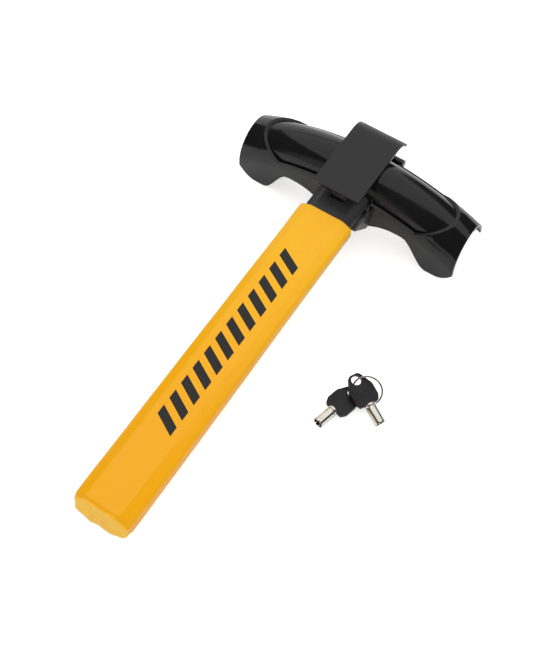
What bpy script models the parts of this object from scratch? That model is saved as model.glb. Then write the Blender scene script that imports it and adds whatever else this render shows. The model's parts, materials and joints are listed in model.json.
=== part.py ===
# A T-shaped steering-wheel lock: a padded bar with an arched clamp head, and its two keys.
# Sizes are in millimetres in the lock's own frame: X along the head, the bar along -Y, Z up through
# the strap, zero at the middle of the rim channel.  The lock lies on a floor at world Z = 0.
import math

import bmesh
import bpy
from mathutils import Matrix
from mathutils import Vector

MM = 0.001
SEAT = 0.3
RUN = 0.25

# Head
ARCH_RADIUS = 202.0
PIPE_RADIUS = 22.0
PIPE_WALL = 2.5
PAD_THICKNESS = 2.0
PAD_INSET = 2.0
PAD_EDGE = math.radians(14.0)
HEAD_HALF_WIDTH = 107.5
SHELL_INSET = 4.0
LOWER_JAW_INSET = 10.5
COVER_WALL = 2.3
COVER_FAR_EDGE = 0.6
SKIRT_STANDOFF = 1.6
SKIRT_LEAST = 4.0
FLANGE_DROP = 16.5
FLANGE_CREST_INSET = 57.5
FLANGE_RISE = 9.0
LIP_WIDTH = 50.3
LIP_DEPTH = 16.0
LIP_STEP = 25.0
LIP_CORNER = 16.0
LIP_CORNER_RISE = 12.0
WINDOW_SILL = 6.0
WINDOW_INSET = 40.5
WINDOW_TOP_INSET = 13.5
PARTING = 0.4

# Strap and hinge
STRAP_WIDTH = 44.0
STRAP_THICKNESS = 2.4
STRAP_MARGIN = 3.7
STRAP_BEND_START = 0.5
STRAP_BEND_RADIUS = 18.0
STRAP_EAR_TURN = math.radians(66.0)
STRAP_LEG_EASE = 0.1
STRAP_LEG_OVERLAP = math.radians(3.0)
STRAP_HOLE_X = -17.0
STRAP_HOLE_RADIUS = 2.2
STRAP_HOLE_TURN = math.radians(48.0)
KNUCKLE_RADIUS = 5.2
KNUCKLE_WIDTH = 22.0
HINGE_PIN_RADIUS = 2.7
HINGE_Z = -12.0
LUG_GAP = 0.4
LUG_TOP_INSET = 8.7
LUG_FOOT_INSET = 10.7

# Bar, sleeve and neck
BAR_LENGTH = 292.0
BAR_WIDTH = 43.2
BAR_THICKNESS = 16.6
BAR_TOP_Z = 8.4
BAR_WALL = 2.0
BAR_CHAMFER_X = 7.0
BAR_CHAMFER_Z = 4.5
BAR_ROUNDING = 2.0
END_PLUG_HEAD = 2.0
END_PLUG_LENGTH = 14.0
SLEEVE_WALL = 1.6
SLEEVE_OVERLAP = 3.5
SLEEVE_END_LENGTH = 21.0
SLEEVE_END_WIDTH = 48.2
SLEEVE_END_THICKNESS = 25.3
SLEEVE_END_CHAMFER_X = 10.4
SLEEVE_END_CHAMFER_Z = 6.2
SLEEVE_END_ROUND = 11.0
SLEEVE_END_DRAW = 0.62
SPIGOT_LENGTH = 16.0
NECK_SLOT_GAP = 3.0
NECK_BACK_WALL = 4.5
GUSSET_X = 15.0
GUSSET_THICKNESS = 4.0
GUSSET_DEPTH = 10.0
GUSSET_NOSE = 2.0

# Lock
KEY_RADIUS = 4.5
KEY_WALL = 0.7
KEYWAY_DEPTH = 4.6
PLUG_WALL = 1.5
CYLINDER_WALL = 1.75
CYLINDER_ROOF = 1.8
TUMBLER_COUNT = 7
TUMBLER_RADIUS = 0.55
TUMBLER_GAP = 0.12
TUMBLER_LENGTH = 3.0
TUMBLER_TRAVEL = 0.8
CAM_THICKNESS = 1.1
CRANK_RADIUS = 4.3
CRANK_PIN_RADIUS = 1.4
CRANK_START = math.radians(-45.0)
BOLT_ROOF = 2.6
BOLT_THICKNESS = 3.6
BOLT_LIFT = 2.0
BOLT_WIDTH = 14.0
BOLT_TIP_WIDTH = 10.0
BOLT_TIP_LENGTH = 8.0
BOLT_TAIL = 9.5
BOLT_DRAWN_BACK = 0.9
TONGUE_REACH = 15.7
TONGUE_THICKNESS = 2.5
TONGUE_WIDTH = 14.0
TONGUE_DROP = 3.2
ROLL_PIN_RADIUS = 1.25
ROLL_PIN_HEIGHT = 7.0

# Keys, on the floor beside the bar
KEYS_X = 94.5
KEYS_Y = -161.0
KEY_HEADINGS = (math.radians(-103.0), math.radians(-27.0))
BOW_LENGTH = 27.0
BOW_WIDTH = 21.0
BOW_TAB_WIDTH = 11.0
BOW_END_WIDTH = 16.0
BOW_THICKNESS = 4.0
BOW_HOLE_RADIUS = 4.1
BOW_HOLE_INSET = 5.2
BARREL_LENGTH = 17.0
BARREL_BORE_DEPTH = 9.0
SHANK_RADIUS = 1.5
SHANK_LENGTH = 6.0
RING_RADIUS = 12.0
RING_WIRE_RADIUS = 0.7
RING_LEAN = math.radians(40.0)
RING_HEADING = math.radians(15.0)
KEY_STACK_GAP = 4.4


def arch_z(x, reach):
    # Height at x of the circle that lies this far outside the arch's centreline
    return math.sqrt((ARCH_RADIUS + reach) ** 2 - x ** 2) - ARCH_RADIUS


# Sizes that follow from those above: the head
PIPE_INNER = PIPE_RADIUS - PIPE_WALL
PAD_OUTER = PIPE_INNER - SEAT
COVER_INNER = PIPE_RADIUS + SEAT
COVER_OUTER = COVER_INNER + COVER_WALL
LOWER_JAW_HALF_WIDTH = HEAD_HALF_WIDTH - LOWER_JAW_INSET
LIP_INNER_X = HEAD_HALF_WIDTH - LIP_WIDTH
LIP_DROP = LIP_DEPTH - arch_z(HEAD_HALF_WIDTH, 0.0)
WINDOW_HALF_WIDTH = HEAD_HALF_WIDTH - WINDOW_INSET
WINDOW_TOP_HALF_WIDTH = HEAD_HALF_WIDTH - WINDOW_TOP_INSET

# The strap, its hinge and the tongue that hangs from it
STRAP_BOTTOM_Z = PIPE_RADIUS + SEAT
STRAP_TOP_Z = STRAP_BOTTOM_Z + STRAP_THICKNESS
STRAP_NEAR_Y = -(PIPE_RADIUS + TONGUE_REACH + STRAP_MARGIN)
STRAP_BEND_Y = PIPE_RADIUS + STRAP_BEND_START
LEG_OUTER_Y = STRAP_BEND_Y + STRAP_BEND_RADIUS
LEG_INNER_Y = LEG_OUTER_Y - STRAP_THICKNESS
HINGE_Y = LEG_OUTER_Y - KNUCKLE_RADIUS
TONGUE_OUTER = HINGE_Y + PIPE_RADIUS + TONGUE_REACH
TONGUE_INNER = TONGUE_OUTER - TONGUE_THICKNESS

# The lock in the neck: the key sets the cylinder, and the cylinder and the bolt set the neck
KEY_BORE_RADIUS = KEY_RADIUS - KEY_WALL
PLUG_RADIUS = KEY_RADIUS + PLUG_WALL
CYLINDER_RADIUS = PLUG_RADIUS + RUN + CYLINDER_WALL
CYLINDER_Y = -(PIPE_RADIUS + TONGUE_REACH + CYLINDER_RADIUS) + RUN
BOLT_TOP_Z = BAR_TOP_Z - BOLT_ROOF
BOLT_Z = BOLT_TOP_Z - BOLT_THICKNESS
BOLT_BACK_Y = CYLINDER_Y - BOLT_TAIL
BOLT_TIP_Y = HINGE_Y - TONGUE_OUTER - BOLT_DRAWN_BACK
TONGUE_BOTTOM_Z = BOLT_Z - TONGUE_DROP
CYLINDER_TOP_Z = BOLT_Z - BOLT_LIFT
CYLINDER_FACE_Z = CYLINDER_TOP_Z - KEYWAY_DEPTH - TUMBLER_LENGTH - CYLINDER_ROOF
CAM_BOTTOM_Z = CYLINDER_TOP_Z + SEAT

# The bar and its sleeve
BAR_BOTTOM_Z = BAR_TOP_Z - BAR_THICKNESS
TUBE_NECK_Y = CYLINDER_Y - CYLINDER_RADIUS - NECK_BACK_WALL
TUBE_END_Y = TUBE_NECK_Y - BAR_LENGTH
SLEEVE_NECK_Y = TUBE_NECK_Y + SLEEVE_OVERLAP
SLEEVE_END_Y = TUBE_END_Y - SLEEVE_END_LENGTH
SLEEVE_TOP_Z = BAR_TOP_Z + SEAT + SLEEVE_WALL
SLEEVE_END_BOTTOM_Z = SLEEVE_TOP_Z - SLEEVE_END_THICKNESS
SLEEVE_REST_Y = SLEEVE_END_Y + SLEEVE_END_ROUND
NECK_SLOT_HALF_WIDTH = BAR_WIDTH / 2 + NECK_SLOT_GAP
FLANGE_CREST_X = HEAD_HALF_WIDTH - FLANGE_CREST_INSET
GUSSET_END_Y = SLEEVE_NECK_Y + SEAT

# The lock lies on the lower jaw's two ends and on the sleeve's end
TILT = math.atan2(SLEEVE_END_BOTTOM_Z - arch_z(LOWER_JAW_HALF_WIDTH, -PIPE_RADIUS), -SLEEVE_REST_Y)

FINISHES = {
    "black_paint": ((0.012, 0.012, 0.013), 0.18, 0.0),
    "yellow_vinyl": ((0.93, 0.46, 0.015), 0.28, 0.0),
    "rubber": ((0.02, 0.02, 0.02), 0.8, 0.0),
    "steel": ((0.45, 0.45, 0.46), 0.35, 1.0),
    "nickel": ((0.72, 0.70, 0.66), 0.15, 1.0),
    "brass": ((0.75, 0.55, 0.25), 0.3, 1.0),
    "bow_plastic": ((0.015, 0.015, 0.016), 0.5, 0.0),
}


def clear_scene():
    for obj in list(bpy.data.objects):
        bpy.data.objects.remove(obj, do_unlink=True)


def make_material(piece, finish):
    colour, roughness, metallic = FINISHES[finish]
    material = bpy.data.materials.new(piece)
    material.use_nodes = True
    shader = material.node_tree.nodes["Principled BSDF"]
    shader.inputs["Base Color"].default_value = (*colour, 1.0)
    shader.inputs["Roughness"].default_value = roughness
    shader.inputs["Metallic"].default_value = metallic
    return material


def make_carrier(name, parent, place, turn=(0.0, 0.0, 0.0)):
    # An empty that pieces are parented to; its place is given in its parent's frame
    empty = bpy.data.objects.new(name, None)
    bpy.context.collection.objects.link(empty)
    empty.parent = parent
    empty.location = Vector(place) * MM
    empty.rotation_euler = turn
    return empty


def link_mesh(name, bm, carrier, pivot):
    bmesh.ops.recalc_face_normals(bm, faces=bm.faces)
    bmesh.ops.translate(bm, vec=-Vector(pivot), verts=bm.verts)
    bmesh.ops.scale(bm, vec=(MM, MM, MM), verts=bm.verts)
    mesh = bpy.data.meshes.new(name)
    bm.to_mesh(mesh)
    bm.free()
    obj = bpy.data.objects.new(name, mesh)
    bpy.context.collection.objects.link(obj)
    obj.parent = carrier
    return obj


def add_piece(name, bm, finish, carrier, pivot=(0.0, 0.0, 0.0)):
    obj = link_mesh(name, bm, carrier, pivot)
    obj.data.materials.append(make_material(name, finish))
    obj.data.shade_smooth()
    obj.data.set_sharp_from_angle(angle=math.radians(35.0))
    return obj


def combine(obj, bm, operation="DIFFERENCE", pivot=(0.0, 0.0, 0.0)):
    # Cut a shape out of a piece, or join it on, with a hidden helper
    helper = link_mesh(obj.name + "_tool", bm, obj.parent, pivot)
    helper.hide_render = True
    helper.display_type = "WIRE"
    modifier = obj.modifiers.new("tool", "BOOLEAN")
    modifier.operation = operation
    modifier.solver = "EXACT"
    modifier.object = helper


def box(low, high):
    bm = bmesh.new()
    bmesh.ops.create_cube(bm, size=1.0)
    size = [b - a for a, b in zip(low, high)]
    middle = [(a + b) / 2 for a, b in zip(low, high)]
    bmesh.ops.scale(bm, vec=size, verts=bm.verts)
    bmesh.ops.translate(bm, vec=middle, verts=bm.verts)
    return bm


def rod(start, end, radius, sides=24):
    start = Vector(start)
    along = Vector(end) - start
    bm = bmesh.new()
    bmesh.ops.create_cone(bm, cap_ends=True, segments=sides, radius1=radius, radius2=radius,
                          depth=along.length)
    turn = Vector((0, 0, 1)).rotation_difference(along).to_matrix().to_4x4()
    bmesh.ops.transform(bm, matrix=Matrix.Translation(start + along / 2) @ turn, verts=bm.verts)
    return bm


def prism(outline, low, high, axis):
    # Outline points are given on the two axes that remain, in X, Y, Z order
    def place(point, level):
        spot = list(point)
        spot.insert("XYZ".index(axis), level)
        return spot

    bm = bmesh.new()
    face = bm.faces.new([bm.verts.new(place(p, low)) for p in outline])
    extruded = bmesh.ops.extrude_face_region(bm, geom=[face])
    moved = [g for g in extruded["geom"] if isinstance(g, bmesh.types.BMVert)]
    shift = place((0.0, 0.0), high - low)
    bmesh.ops.translate(bm, vec=shift, verts=moved)
    bmesh.ops.triangulate(bm, faces=[f for f in bm.faces if len(f.verts) > 4])
    return bm


def arc(centre, radius, start, end, steps):
    points = []
    for i in range(steps + 1):
        angle = start + (end - start) * i / steps
        points.append((centre[0] + radius * math.cos(angle), centre[1] + radius * math.sin(angle)))
    return points


def swept_rings(rings, cap):
    # Join rings of points, all of one length, into a closed solid
    bm = bmesh.new()
    rows = [[bm.verts.new(p) for p in ring] for ring in rings]
    count = len(rows[0])
    for row, following in zip(rows, rows[1:]):
        for i in range(count):
            k = (i + 1) % count
            bm.faces.new((row[i], row[k], following[k], following[i]))
    cap(bm, rows[0])
    cap(bm, rows[-1])
    return bm


def cap_flat(bm, row):
    bm.faces.new(row)


def cap_strip(bm, row):
    # The ring runs out along one wall and back along the other
    last = len(row) - 1
    for i in range(len(row) // 2 - 1):
        bm.faces.new((row[i], row[i + 1], row[last - i - 1], row[last - i]))


def arch_point(x, angle, radius):
    # Angle 0 is the crown of the pipe and a negative angle faces the bar
    return (x, radius * math.sin(angle), arch_z(x, radius * math.cos(angle)))


def spread(low, high, steps):
    return [low + (high - low) * i / steps for i in range(steps + 1)]


def arch_band(first, last, inner, outer, half_width, along, around):
    rings = []
    for x in spread(-half_width, half_width, along):
        angles = spread(first, last, around)
        ring = [arch_point(x, a, outer) for a in angles]
        ring += [arch_point(x, a, inner) for a in reversed(angles)]
        rings.append(ring)
    return swept_rings(rings, cap_strip)


def arch_core(radius, half_width, along, around):
    rings = []
    for x in spread(-half_width, half_width, along):
        turns = spread(0.0, 2 * math.pi, around)[:-1]
        rings.append([arch_point(x, a, radius) for a in turns])
    return swept_rings(rings, cap_flat)


def smooth_step(value):
    value = min(1.0, max(0.0, value))
    return value * value * (3.0 - 2.0 * value)


def lip_edge_z(x):
    # Lower edge of the cover on the bar's side: beside the neck it rises to a crest, and from there it
    # sweeps down into a rounded lip at each end
    reach = abs(x)
    beside_neck = (FLANGE_CREST_X - reach) / (FLANGE_CREST_X - NECK_SLOT_HALF_WIDTH)
    beside_neck = min(1.0, max(0.0, beside_neck))
    drop = FLANGE_DROP + FLANGE_RISE * beside_neck ** 2
    drop += (LIP_DROP - FLANGE_DROP) * smooth_step((reach - LIP_INNER_X) / LIP_STEP)
    corner = max(0.0, reach - (HEAD_HALF_WIDTH - LIP_CORNER)) / LIP_CORNER
    return -drop + LIP_CORNER_RISE * corner ** 2


def rounded(corners, radius, steps=2):
    # Replace each corner of an outline by a short curve
    points = []
    for i, corner in enumerate(corners):
        corner = Vector(corner)
        before = (Vector(corners[i - 1]) - corner)
        after = (Vector(corners[(i + 1) % len(corners)]) - corner)
        cut = min(radius, 0.45 * before.length, 0.45 * after.length)
        start = corner + before.normalized() * cut
        end = corner + after.normalized() * cut
        for s in spread(0.0, 1.0, steps):
            points.append(tuple((1 - s) ** 2 * start + 2 * s * (1 - s) * corner + s * s * end))
    return points


def bar_section(width, thickness, chamfer_x, chamfer_z, top, rounding):
    a = width / 2
    low = top - thickness
    corners = [(a - chamfer_x, top), (a, top - chamfer_z), (a, low + chamfer_z), (a - chamfer_x, low)]
    corners += [(-x, z) for x, z in reversed(corners)]
    return rounded(corners, rounding)


def on_bar(section, y):
    return [(x, y, z) for x, z in section]


def plain_bar_section(grow=0.0):
    return bar_section(BAR_WIDTH + 2 * grow, BAR_THICKNESS + 2 * grow, BAR_CHAMFER_X, BAR_CHAMFER_Z,
                       BAR_TOP_Z + grow, BAR_ROUNDING + max(0.0, grow))


def build_bar(lock):
    outer = plain_bar_section()
    tube = swept_rings([on_bar(outer, TUBE_END_Y), on_bar(outer, TUBE_NECK_Y)], cap_flat)
    tube = add_piece("bar_tube", tube, "steel", lock)
    inner = plain_bar_section(-BAR_WALL)
    bore = swept_rings([on_bar(inner, TUBE_END_Y - 1), on_bar(inner, TUBE_NECK_Y + 1)], cap_flat)
    combine(tube, bore)

    section = plain_bar_section(-BAR_WALL - SEAT)
    low = TUBE_END_Y - SEAT
    plug = swept_rings([on_bar(outer, low - END_PLUG_HEAD), on_bar(outer, low)], cap_flat)
    plug = add_piece("bar_end_plug", plug, "rubber", lock)
    stem = [on_bar(section, low - END_PLUG_HEAD / 2), on_bar(section, low + END_PLUG_LENGTH)]
    combine(plug, swept_rings(stem, cap_flat), "UNION")


def sleeve_section(y):
    # The sleeve grows from a close fit at the neck to a fuller, rounder section at its end
    grow = SEAT + SLEEVE_WALL
    share = smooth_step((SLEEVE_NECK_Y - y) / (SLEEVE_NECK_Y - SLEEVE_REST_Y))

    def mix(a, b):
        return a + (b - a) * share

    return bar_section(mix(BAR_WIDTH + 2 * grow, SLEEVE_END_WIDTH),
                       mix(BAR_THICKNESS + 2 * grow, SLEEVE_END_THICKNESS),
                       mix(BAR_CHAMFER_X + 0.4, SLEEVE_END_CHAMFER_X),
                       mix(BAR_CHAMFER_Z + 0.4, SLEEVE_END_CHAMFER_Z),
                       SLEEVE_TOP_Z, mix(3.0, 5.0))


def build_sleeve(lock):
    rings = [on_bar(sleeve_section(y), y) for y in spread(SLEEVE_NECK_Y, SLEEVE_REST_Y, 12)]
    last = sleeve_section(SLEEVE_REST_Y)
    middle_z = SLEEVE_TOP_Z - SLEEVE_END_THICKNESS / 2
    for turn in spread(0.0, math.radians(80.0), 4)[1:]:
        inset = SLEEVE_END_ROUND * SLEEVE_END_DRAW * (1 - math.cos(turn))
        x_scale = 1 - inset / (SLEEVE_END_WIDTH / 2)
        z_scale = 1 - inset / (SLEEVE_END_THICKNESS / 2)
        y = SLEEVE_REST_Y - SLEEVE_END_ROUND * math.sin(turn)
        rings.append([(x * x_scale, y, middle_z + (z - middle_z) * z_scale) for x, z in last])
    sleeve = add_piece("grip_sleeve", swept_rings(rings, cap_flat), "yellow_vinyl", lock)
    bore = plain_bar_section(SEAT)
    bottom = TUBE_END_Y - SEAT - END_PLUG_HEAD - SEAT
    combine(sleeve, swept_rings([on_bar(bore, bottom), on_bar(bore, SLEEVE_NECK_Y + 1)], cap_flat))


def build_neck(lock):
    outer = plain_bar_section()
    neck = swept_rings([on_bar(outer, TUBE_NECK_Y + SEAT), on_bar(outer, -PIPE_RADIUS / 2)], cap_flat)
    neck = add_piece("lock_housing", neck, "black_paint", lock)
    spigot = plain_bar_section(-BAR_WALL - SEAT)
    spigot_end = TUBE_NECK_Y - SPIGOT_LENGTH
    spigot = [on_bar(spigot, spigot_end), on_bar(spigot, TUBE_NECK_Y + 2)]
    combine(neck, swept_rings(spigot, cap_flat), "UNION")
    combine(neck, arch_core(PIPE_RADIUS + SEAT, BAR_WIDTH, 12, 40))

    # Bore for the lock cylinder, pocket for its cam, channel for the bolt and slot for the latch tongue
    bore = CYLINDER_RADIUS + RUN
    combine(neck, rod((0, CYLINDER_Y, BAR_BOTTOM_Z - 2), (0, CYLINDER_Y, CYLINDER_TOP_Z + SEAT), bore, 32))
    pocket = PLUG_RADIUS + 2 * RUN
    combine(neck, rod((0, CYLINDER_Y, CYLINDER_FACE_Z), (0, CYLINDER_Y, BOLT_Z + RUN), pocket, 32))
    side = BOLT_WIDTH / 2 + RUN
    combine(neck, box((-side, BOLT_BACK_Y - 1, BOLT_Z - RUN), (side, -PIPE_RADIUS, BOLT_TOP_Z + RUN)))
    slot_far = HINGE_Y - math.sqrt(TONGUE_INNER ** 2 - (BAR_TOP_Z - HINGE_Z) ** 2) + 1.0
    slot_near = HINGE_Y - TONGUE_OUTER - RUN
    side = TONGUE_WIDTH / 2 + 2 * RUN
    combine(neck, box((-side, slot_near, TONGUE_BOTTOM_Z - 2 * RUN), (side, slot_far, BAR_TOP_Z + 2)))
    combine(neck, roll_pin_rod(ROLL_PIN_RADIUS + SEAT, 1.0))

    for side, name in ((-1, "gusset_left"), (1, "gusset_right")):
        top = BAR_BOTTOM_Z - SEAT
        outline = [(GUSSET_END_Y, top), (-PIPE_RADIUS / 2, top),
                   (-PIPE_RADIUS / 2, top - 1.6 * GUSSET_DEPTH), (-PIPE_RADIUS, top - GUSSET_DEPTH)]
        outline.append((GUSSET_END_Y, top - GUSSET_NOSE))
        middle = side * GUSSET_X
        half = GUSSET_THICKNESS / 2
        gusset = add_piece(name, prism(outline, middle - half, middle + half, "X"), "black_paint", lock)
        combine(gusset, arch_core(PIPE_RADIUS + SEAT, BAR_WIDTH, 12, 40))


def roll_pin_rod(radius, extra=0.0):
    # The cross pin that lies in a groove at the back of the lock cylinder
    y = CYLINDER_Y - CYLINDER_RADIUS - RUN
    z = CYLINDER_FACE_Z + ROLL_PIN_HEIGHT
    reach = BAR_WIDTH / 2 - BAR_CHAMFER_X + extra
    return rod((-reach, y, z), (reach, y, z), radius, 16)


def build_cylinder(lock, plug_axis, bolt_slide):
    place = (0.0, CYLINDER_Y, 0.0)
    body = rod((0, CYLINDER_Y, CYLINDER_FACE_Z), (0, CYLINDER_Y, CYLINDER_TOP_Z), CYLINDER_RADIUS, 32)
    body = add_piece("cylinder_body", body, "nickel", lock)
    bore = PLUG_RADIUS + RUN
    combine(body, rod((0, CYLINDER_Y, CYLINDER_FACE_Z - 1), (0, CYLINDER_Y, CYLINDER_TOP_Z + 1), bore, 32))
    combine(body, roll_pin_rod(ROLL_PIN_RADIUS + SEAT, 1.0))
    add_piece("cylinder_roll_pin", roll_pin_rod(ROLL_PIN_RADIUS), "steel", lock)

    plug = rod((0, CYLINDER_Y, CYLINDER_FACE_Z), (0, CYLINDER_Y, CYLINDER_TOP_Z), PLUG_RADIUS, 32)
    plug = add_piece("cylinder_plug", plug, "brass", plug_axis, place)
    keyway_top = CYLINDER_FACE_Z + KEYWAY_DEPTH
    annulus = prism(arc((0, CYLINDER_Y), KEY_RADIUS + RUN, 0, 2 * math.pi, 32)[:-1],
                    CYLINDER_FACE_Z - 1, keyway_top, "Z")
    ring = link_annulus(annulus, plug_axis, place, keyway_top)
    modifier = plug.modifiers.new("keyway", "BOOLEAN")
    modifier.operation = "DIFFERENCE"
    modifier.solver = "EXACT"
    modifier.object = ring
    pitch = (KEY_RADIUS + KEY_BORE_RADIUS) / 2
    for i in range(TUMBLER_COUNT):
        turn = 2 * math.pi * (i + 0.5) / TUMBLER_COUNT
        x = pitch * math.cos(turn)
        y = CYLINDER_Y + pitch * math.sin(turn)
        low = keyway_top - 2 * TUMBLER_TRAVEL
        hole = rod((x, y, keyway_top - 0.5), (x, y, low + TUMBLER_LENGTH + TUMBLER_TRAVEL + RUN),
                   TUMBLER_RADIUS + TUMBLER_GAP, 10)
        combine(plug, hole, "DIFFERENCE", place)
        pin = rod((x, y, low), (x, y, low + TUMBLER_LENGTH), TUMBLER_RADIUS, 10)
        add_piece("tumbler_pin_%d" % (i + 1), pin, "steel", plug_axis, place)

    cam = rod((0, CYLINDER_Y, CAM_BOTTOM_Z), (0, CYLINDER_Y, CAM_BOTTOM_Z + CAM_THICKNESS), PLUG_RADIUS, 32)
    cam = add_piece("cam", cam, "steel", plug_axis, place)
    x = CRANK_RADIUS * math.cos(CRANK_START)
    y = CYLINDER_Y + CRANK_RADIUS * math.sin(CRANK_START)
    crank = rod((x, y, CAM_BOTTOM_Z + 0.3), (x, y, BOLT_TOP_Z - 0.4), CRANK_PIN_RADIUS, 20)
    combine(cam, crank, "UNION", place)

    tip_back = BOLT_TIP_Y - BOLT_TIP_LENGTH
    half = BOLT_WIDTH / 2
    tip = BOLT_TIP_WIDTH / 2
    outline = [(-half, BOLT_BACK_Y), (half, BOLT_BACK_Y), (half, tip_back), (tip, tip_back + 2.0),
               (tip, BOLT_TIP_Y - 1.0), (tip - 1.0, BOLT_TIP_Y), (1.0 - tip, BOLT_TIP_Y),
               (-tip, BOLT_TIP_Y - 1.0), (-tip, tip_back + 2.0), (-half, tip_back)]
    bolt = add_piece("bolt", prism(outline, BOLT_Z, BOLT_TOP_Z, "Z"), "steel", bolt_slide)
    gap = CRANK_PIN_RADIUS + SEAT
    slot = arc((CRANK_RADIUS, y), gap, -math.pi / 2, math.pi / 2, 8)
    slot += arc((x, y), gap, math.pi / 2, 1.5 * math.pi, 8)
    combine(bolt, prism(slot, BOLT_Z - 1, BOLT_TOP_Z + 1, "Z"))


def link_annulus(disc, carrier, pivot, top):
    # The ring-shaped space that the key's barrel enters: a disc less its centre post
    ring = link_mesh("keyway_tool", disc, carrier, pivot)
    ring.hide_render = True
    ring.display_type = "WIRE"
    post = rod((0, CYLINDER_Y, CYLINDER_FACE_Z - 3), (0, CYLINDER_Y, top + 2), KEY_BORE_RADIUS - RUN, 24)
    combine(ring, post, "DIFFERENCE", pivot)
    return ring


def build_lower_jaw(lock):
    part = math.asin(PARTING / PIPE_RADIUS)
    first = math.pi / 2 + part
    last = 1.5 * math.pi - part
    jaw = arch_band(first, last, PIPE_INNER, PIPE_RADIUS, LOWER_JAW_HALF_WIDTH, 24, 14)
    add_piece("lower_jaw", jaw, "black_paint", lock)
    pad = arch_band(first + PAD_EDGE, last - PAD_EDGE, PAD_OUTER - PAD_THICKNESS, PAD_OUTER,
                    LOWER_JAW_HALF_WIDTH - PAD_INSET, 18, 10)
    add_piece("lower_jaw_pad", pad, "rubber", lock)

    pin_reach = STRAP_WIDTH / 2 + 1.0
    pin = rod((-pin_reach, HINGE_Y, HINGE_Z), (pin_reach, HINGE_Y, HINGE_Z), HINGE_PIN_RADIUS, 20)
    add_piece("hinge_pin", pin, "steel", lock)
    for side, name in ((-1, "hinge_lug_left"), (1, "hinge_lug_right")):
        near = side * (KNUCKLE_WIDTH / 2 + LUG_GAP)
        far = side * STRAP_WIDTH / 2
        low = min(near, far)
        high = max(near, far)
        lug = prism(arc((HINGE_Y, HINGE_Z), KNUCKLE_RADIUS, 0, 2 * math.pi, 28)[:-1], low, high, "X")
        lug = add_piece(name, lug, "black_paint", lock)
        web = [(HINGE_Y, HINGE_Z - KNUCKLE_RADIUS + 0.02), (HINGE_Y - 1.0, HINGE_Z + 2.0),
               (PIPE_RADIUS - LUG_TOP_INSET, HINGE_Z - 3.0), (PIPE_RADIUS - LUG_FOOT_INSET, HINGE_Z - 9.0)]
        combine(lug, prism(web, low, high, "X"), "UNION")
        combine(lug, arch_core(PIPE_RADIUS + SEAT, BAR_WIDTH, 12, 40))
        hole = rod((low - 1, HINGE_Y, HINGE_Z), (high + 1, HINGE_Y, HINGE_Z), HINGE_PIN_RADIUS + RUN, 20)
        combine(lug, hole)


def build_upper_jaw(jaw_hinge):
    pivot = (0.0, HINGE_Y, HINGE_Z)
    last = math.pi / 2 - math.asin(PARTING / PIPE_RADIUS)
    shell = arch_band(-last, last, PIPE_INNER, PIPE_RADIUS, HEAD_HALF_WIDTH - SHELL_INSET, 28, 14)
    add_piece("upper_shell", shell, "black_paint", jaw_hinge, pivot)
    pad = arch_band(PAD_EDGE - last, last - PAD_EDGE, PAD_OUTER - PAD_THICKNESS, PAD_OUTER,
                    HEAD_HALF_WIDTH - SHELL_INSET - PAD_INSET, 18, 10)
    add_piece("upper_jaw_pad", pad, "rubber", jaw_hinge, pivot)
    build_cover(jaw_hinge, pivot)
    build_strap(jaw_hinge, pivot)


def cover_wall(x, radius):
    # One face of the cover at x, from its far edge over the crown and down to the lip; towards the bar
    # it stands off the pipe, so that the skirt swings up past the lower jaw
    far = math.pi / 2 - math.asin(COVER_FAR_EDGE / radius)
    wall = []
    for angle in spread(far, -math.pi / 2, 14):
        x, y, z = arch_point(x, angle, radius)
        wall.append((x, y - SKIRT_STANDOFF * smooth_step(-angle / (math.pi / 2)), z))
    x, y, top = wall[-1]
    bottom = min(lip_edge_z(x), top - SKIRT_LEAST)
    return wall + [(x, y, z) for z in spread(top, bottom, 3)[1:]]


def build_cover(jaw_hinge, pivot):
    rings = []
    for x in spread(-HEAD_HALF_WIDTH, HEAD_HALF_WIDTH, 50):
        rings.append(cover_wall(x, COVER_OUTER) + cover_wall(x, COVER_INNER)[::-1])
    cover = add_piece("jaw_cover", swept_rings(rings, cap_strip), "black_paint", jaw_hinge, pivot)

    # The window over the pipe: its sill follows the arch and its ends rake outwards over the crown
    sill = [(x, arch_z(x, WINDOW_SILL)) for x in spread(-WINDOW_HALF_WIDTH, WINDOW_HALF_WIDTH, 24)]
    corner = sill[-1]
    crown = (WINDOW_TOP_HALF_WIDTH, arch_z(WINDOW_TOP_HALF_WIDTH, COVER_OUTER))
    slope = (crown[1] - corner[1]) / (crown[0] - corner[0])
    outside = (HEAD_HALF_WIDTH + 10, crown[1] + slope * (HEAD_HALF_WIDTH + 10 - crown[0]))
    above = STRAP_TOP_Z + 10
    outline = sill + [outside, (outside[0], above), (-outside[0], above), (-outside[0], outside[1])]
    combine(cover, prism(outline, -COVER_OUTER - 5, COVER_OUTER + 5, "Y"), "DIFFERENCE", pivot)
    slot = box((-NECK_SLOT_HALF_WIDTH, -COVER_OUTER - 5, -LIP_DROP),
               (NECK_SLOT_HALF_WIDTH, -PIPE_RADIUS / 2, PIPE_RADIUS))
    combine(cover, slot, "DIFFERENCE", pivot)


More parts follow.
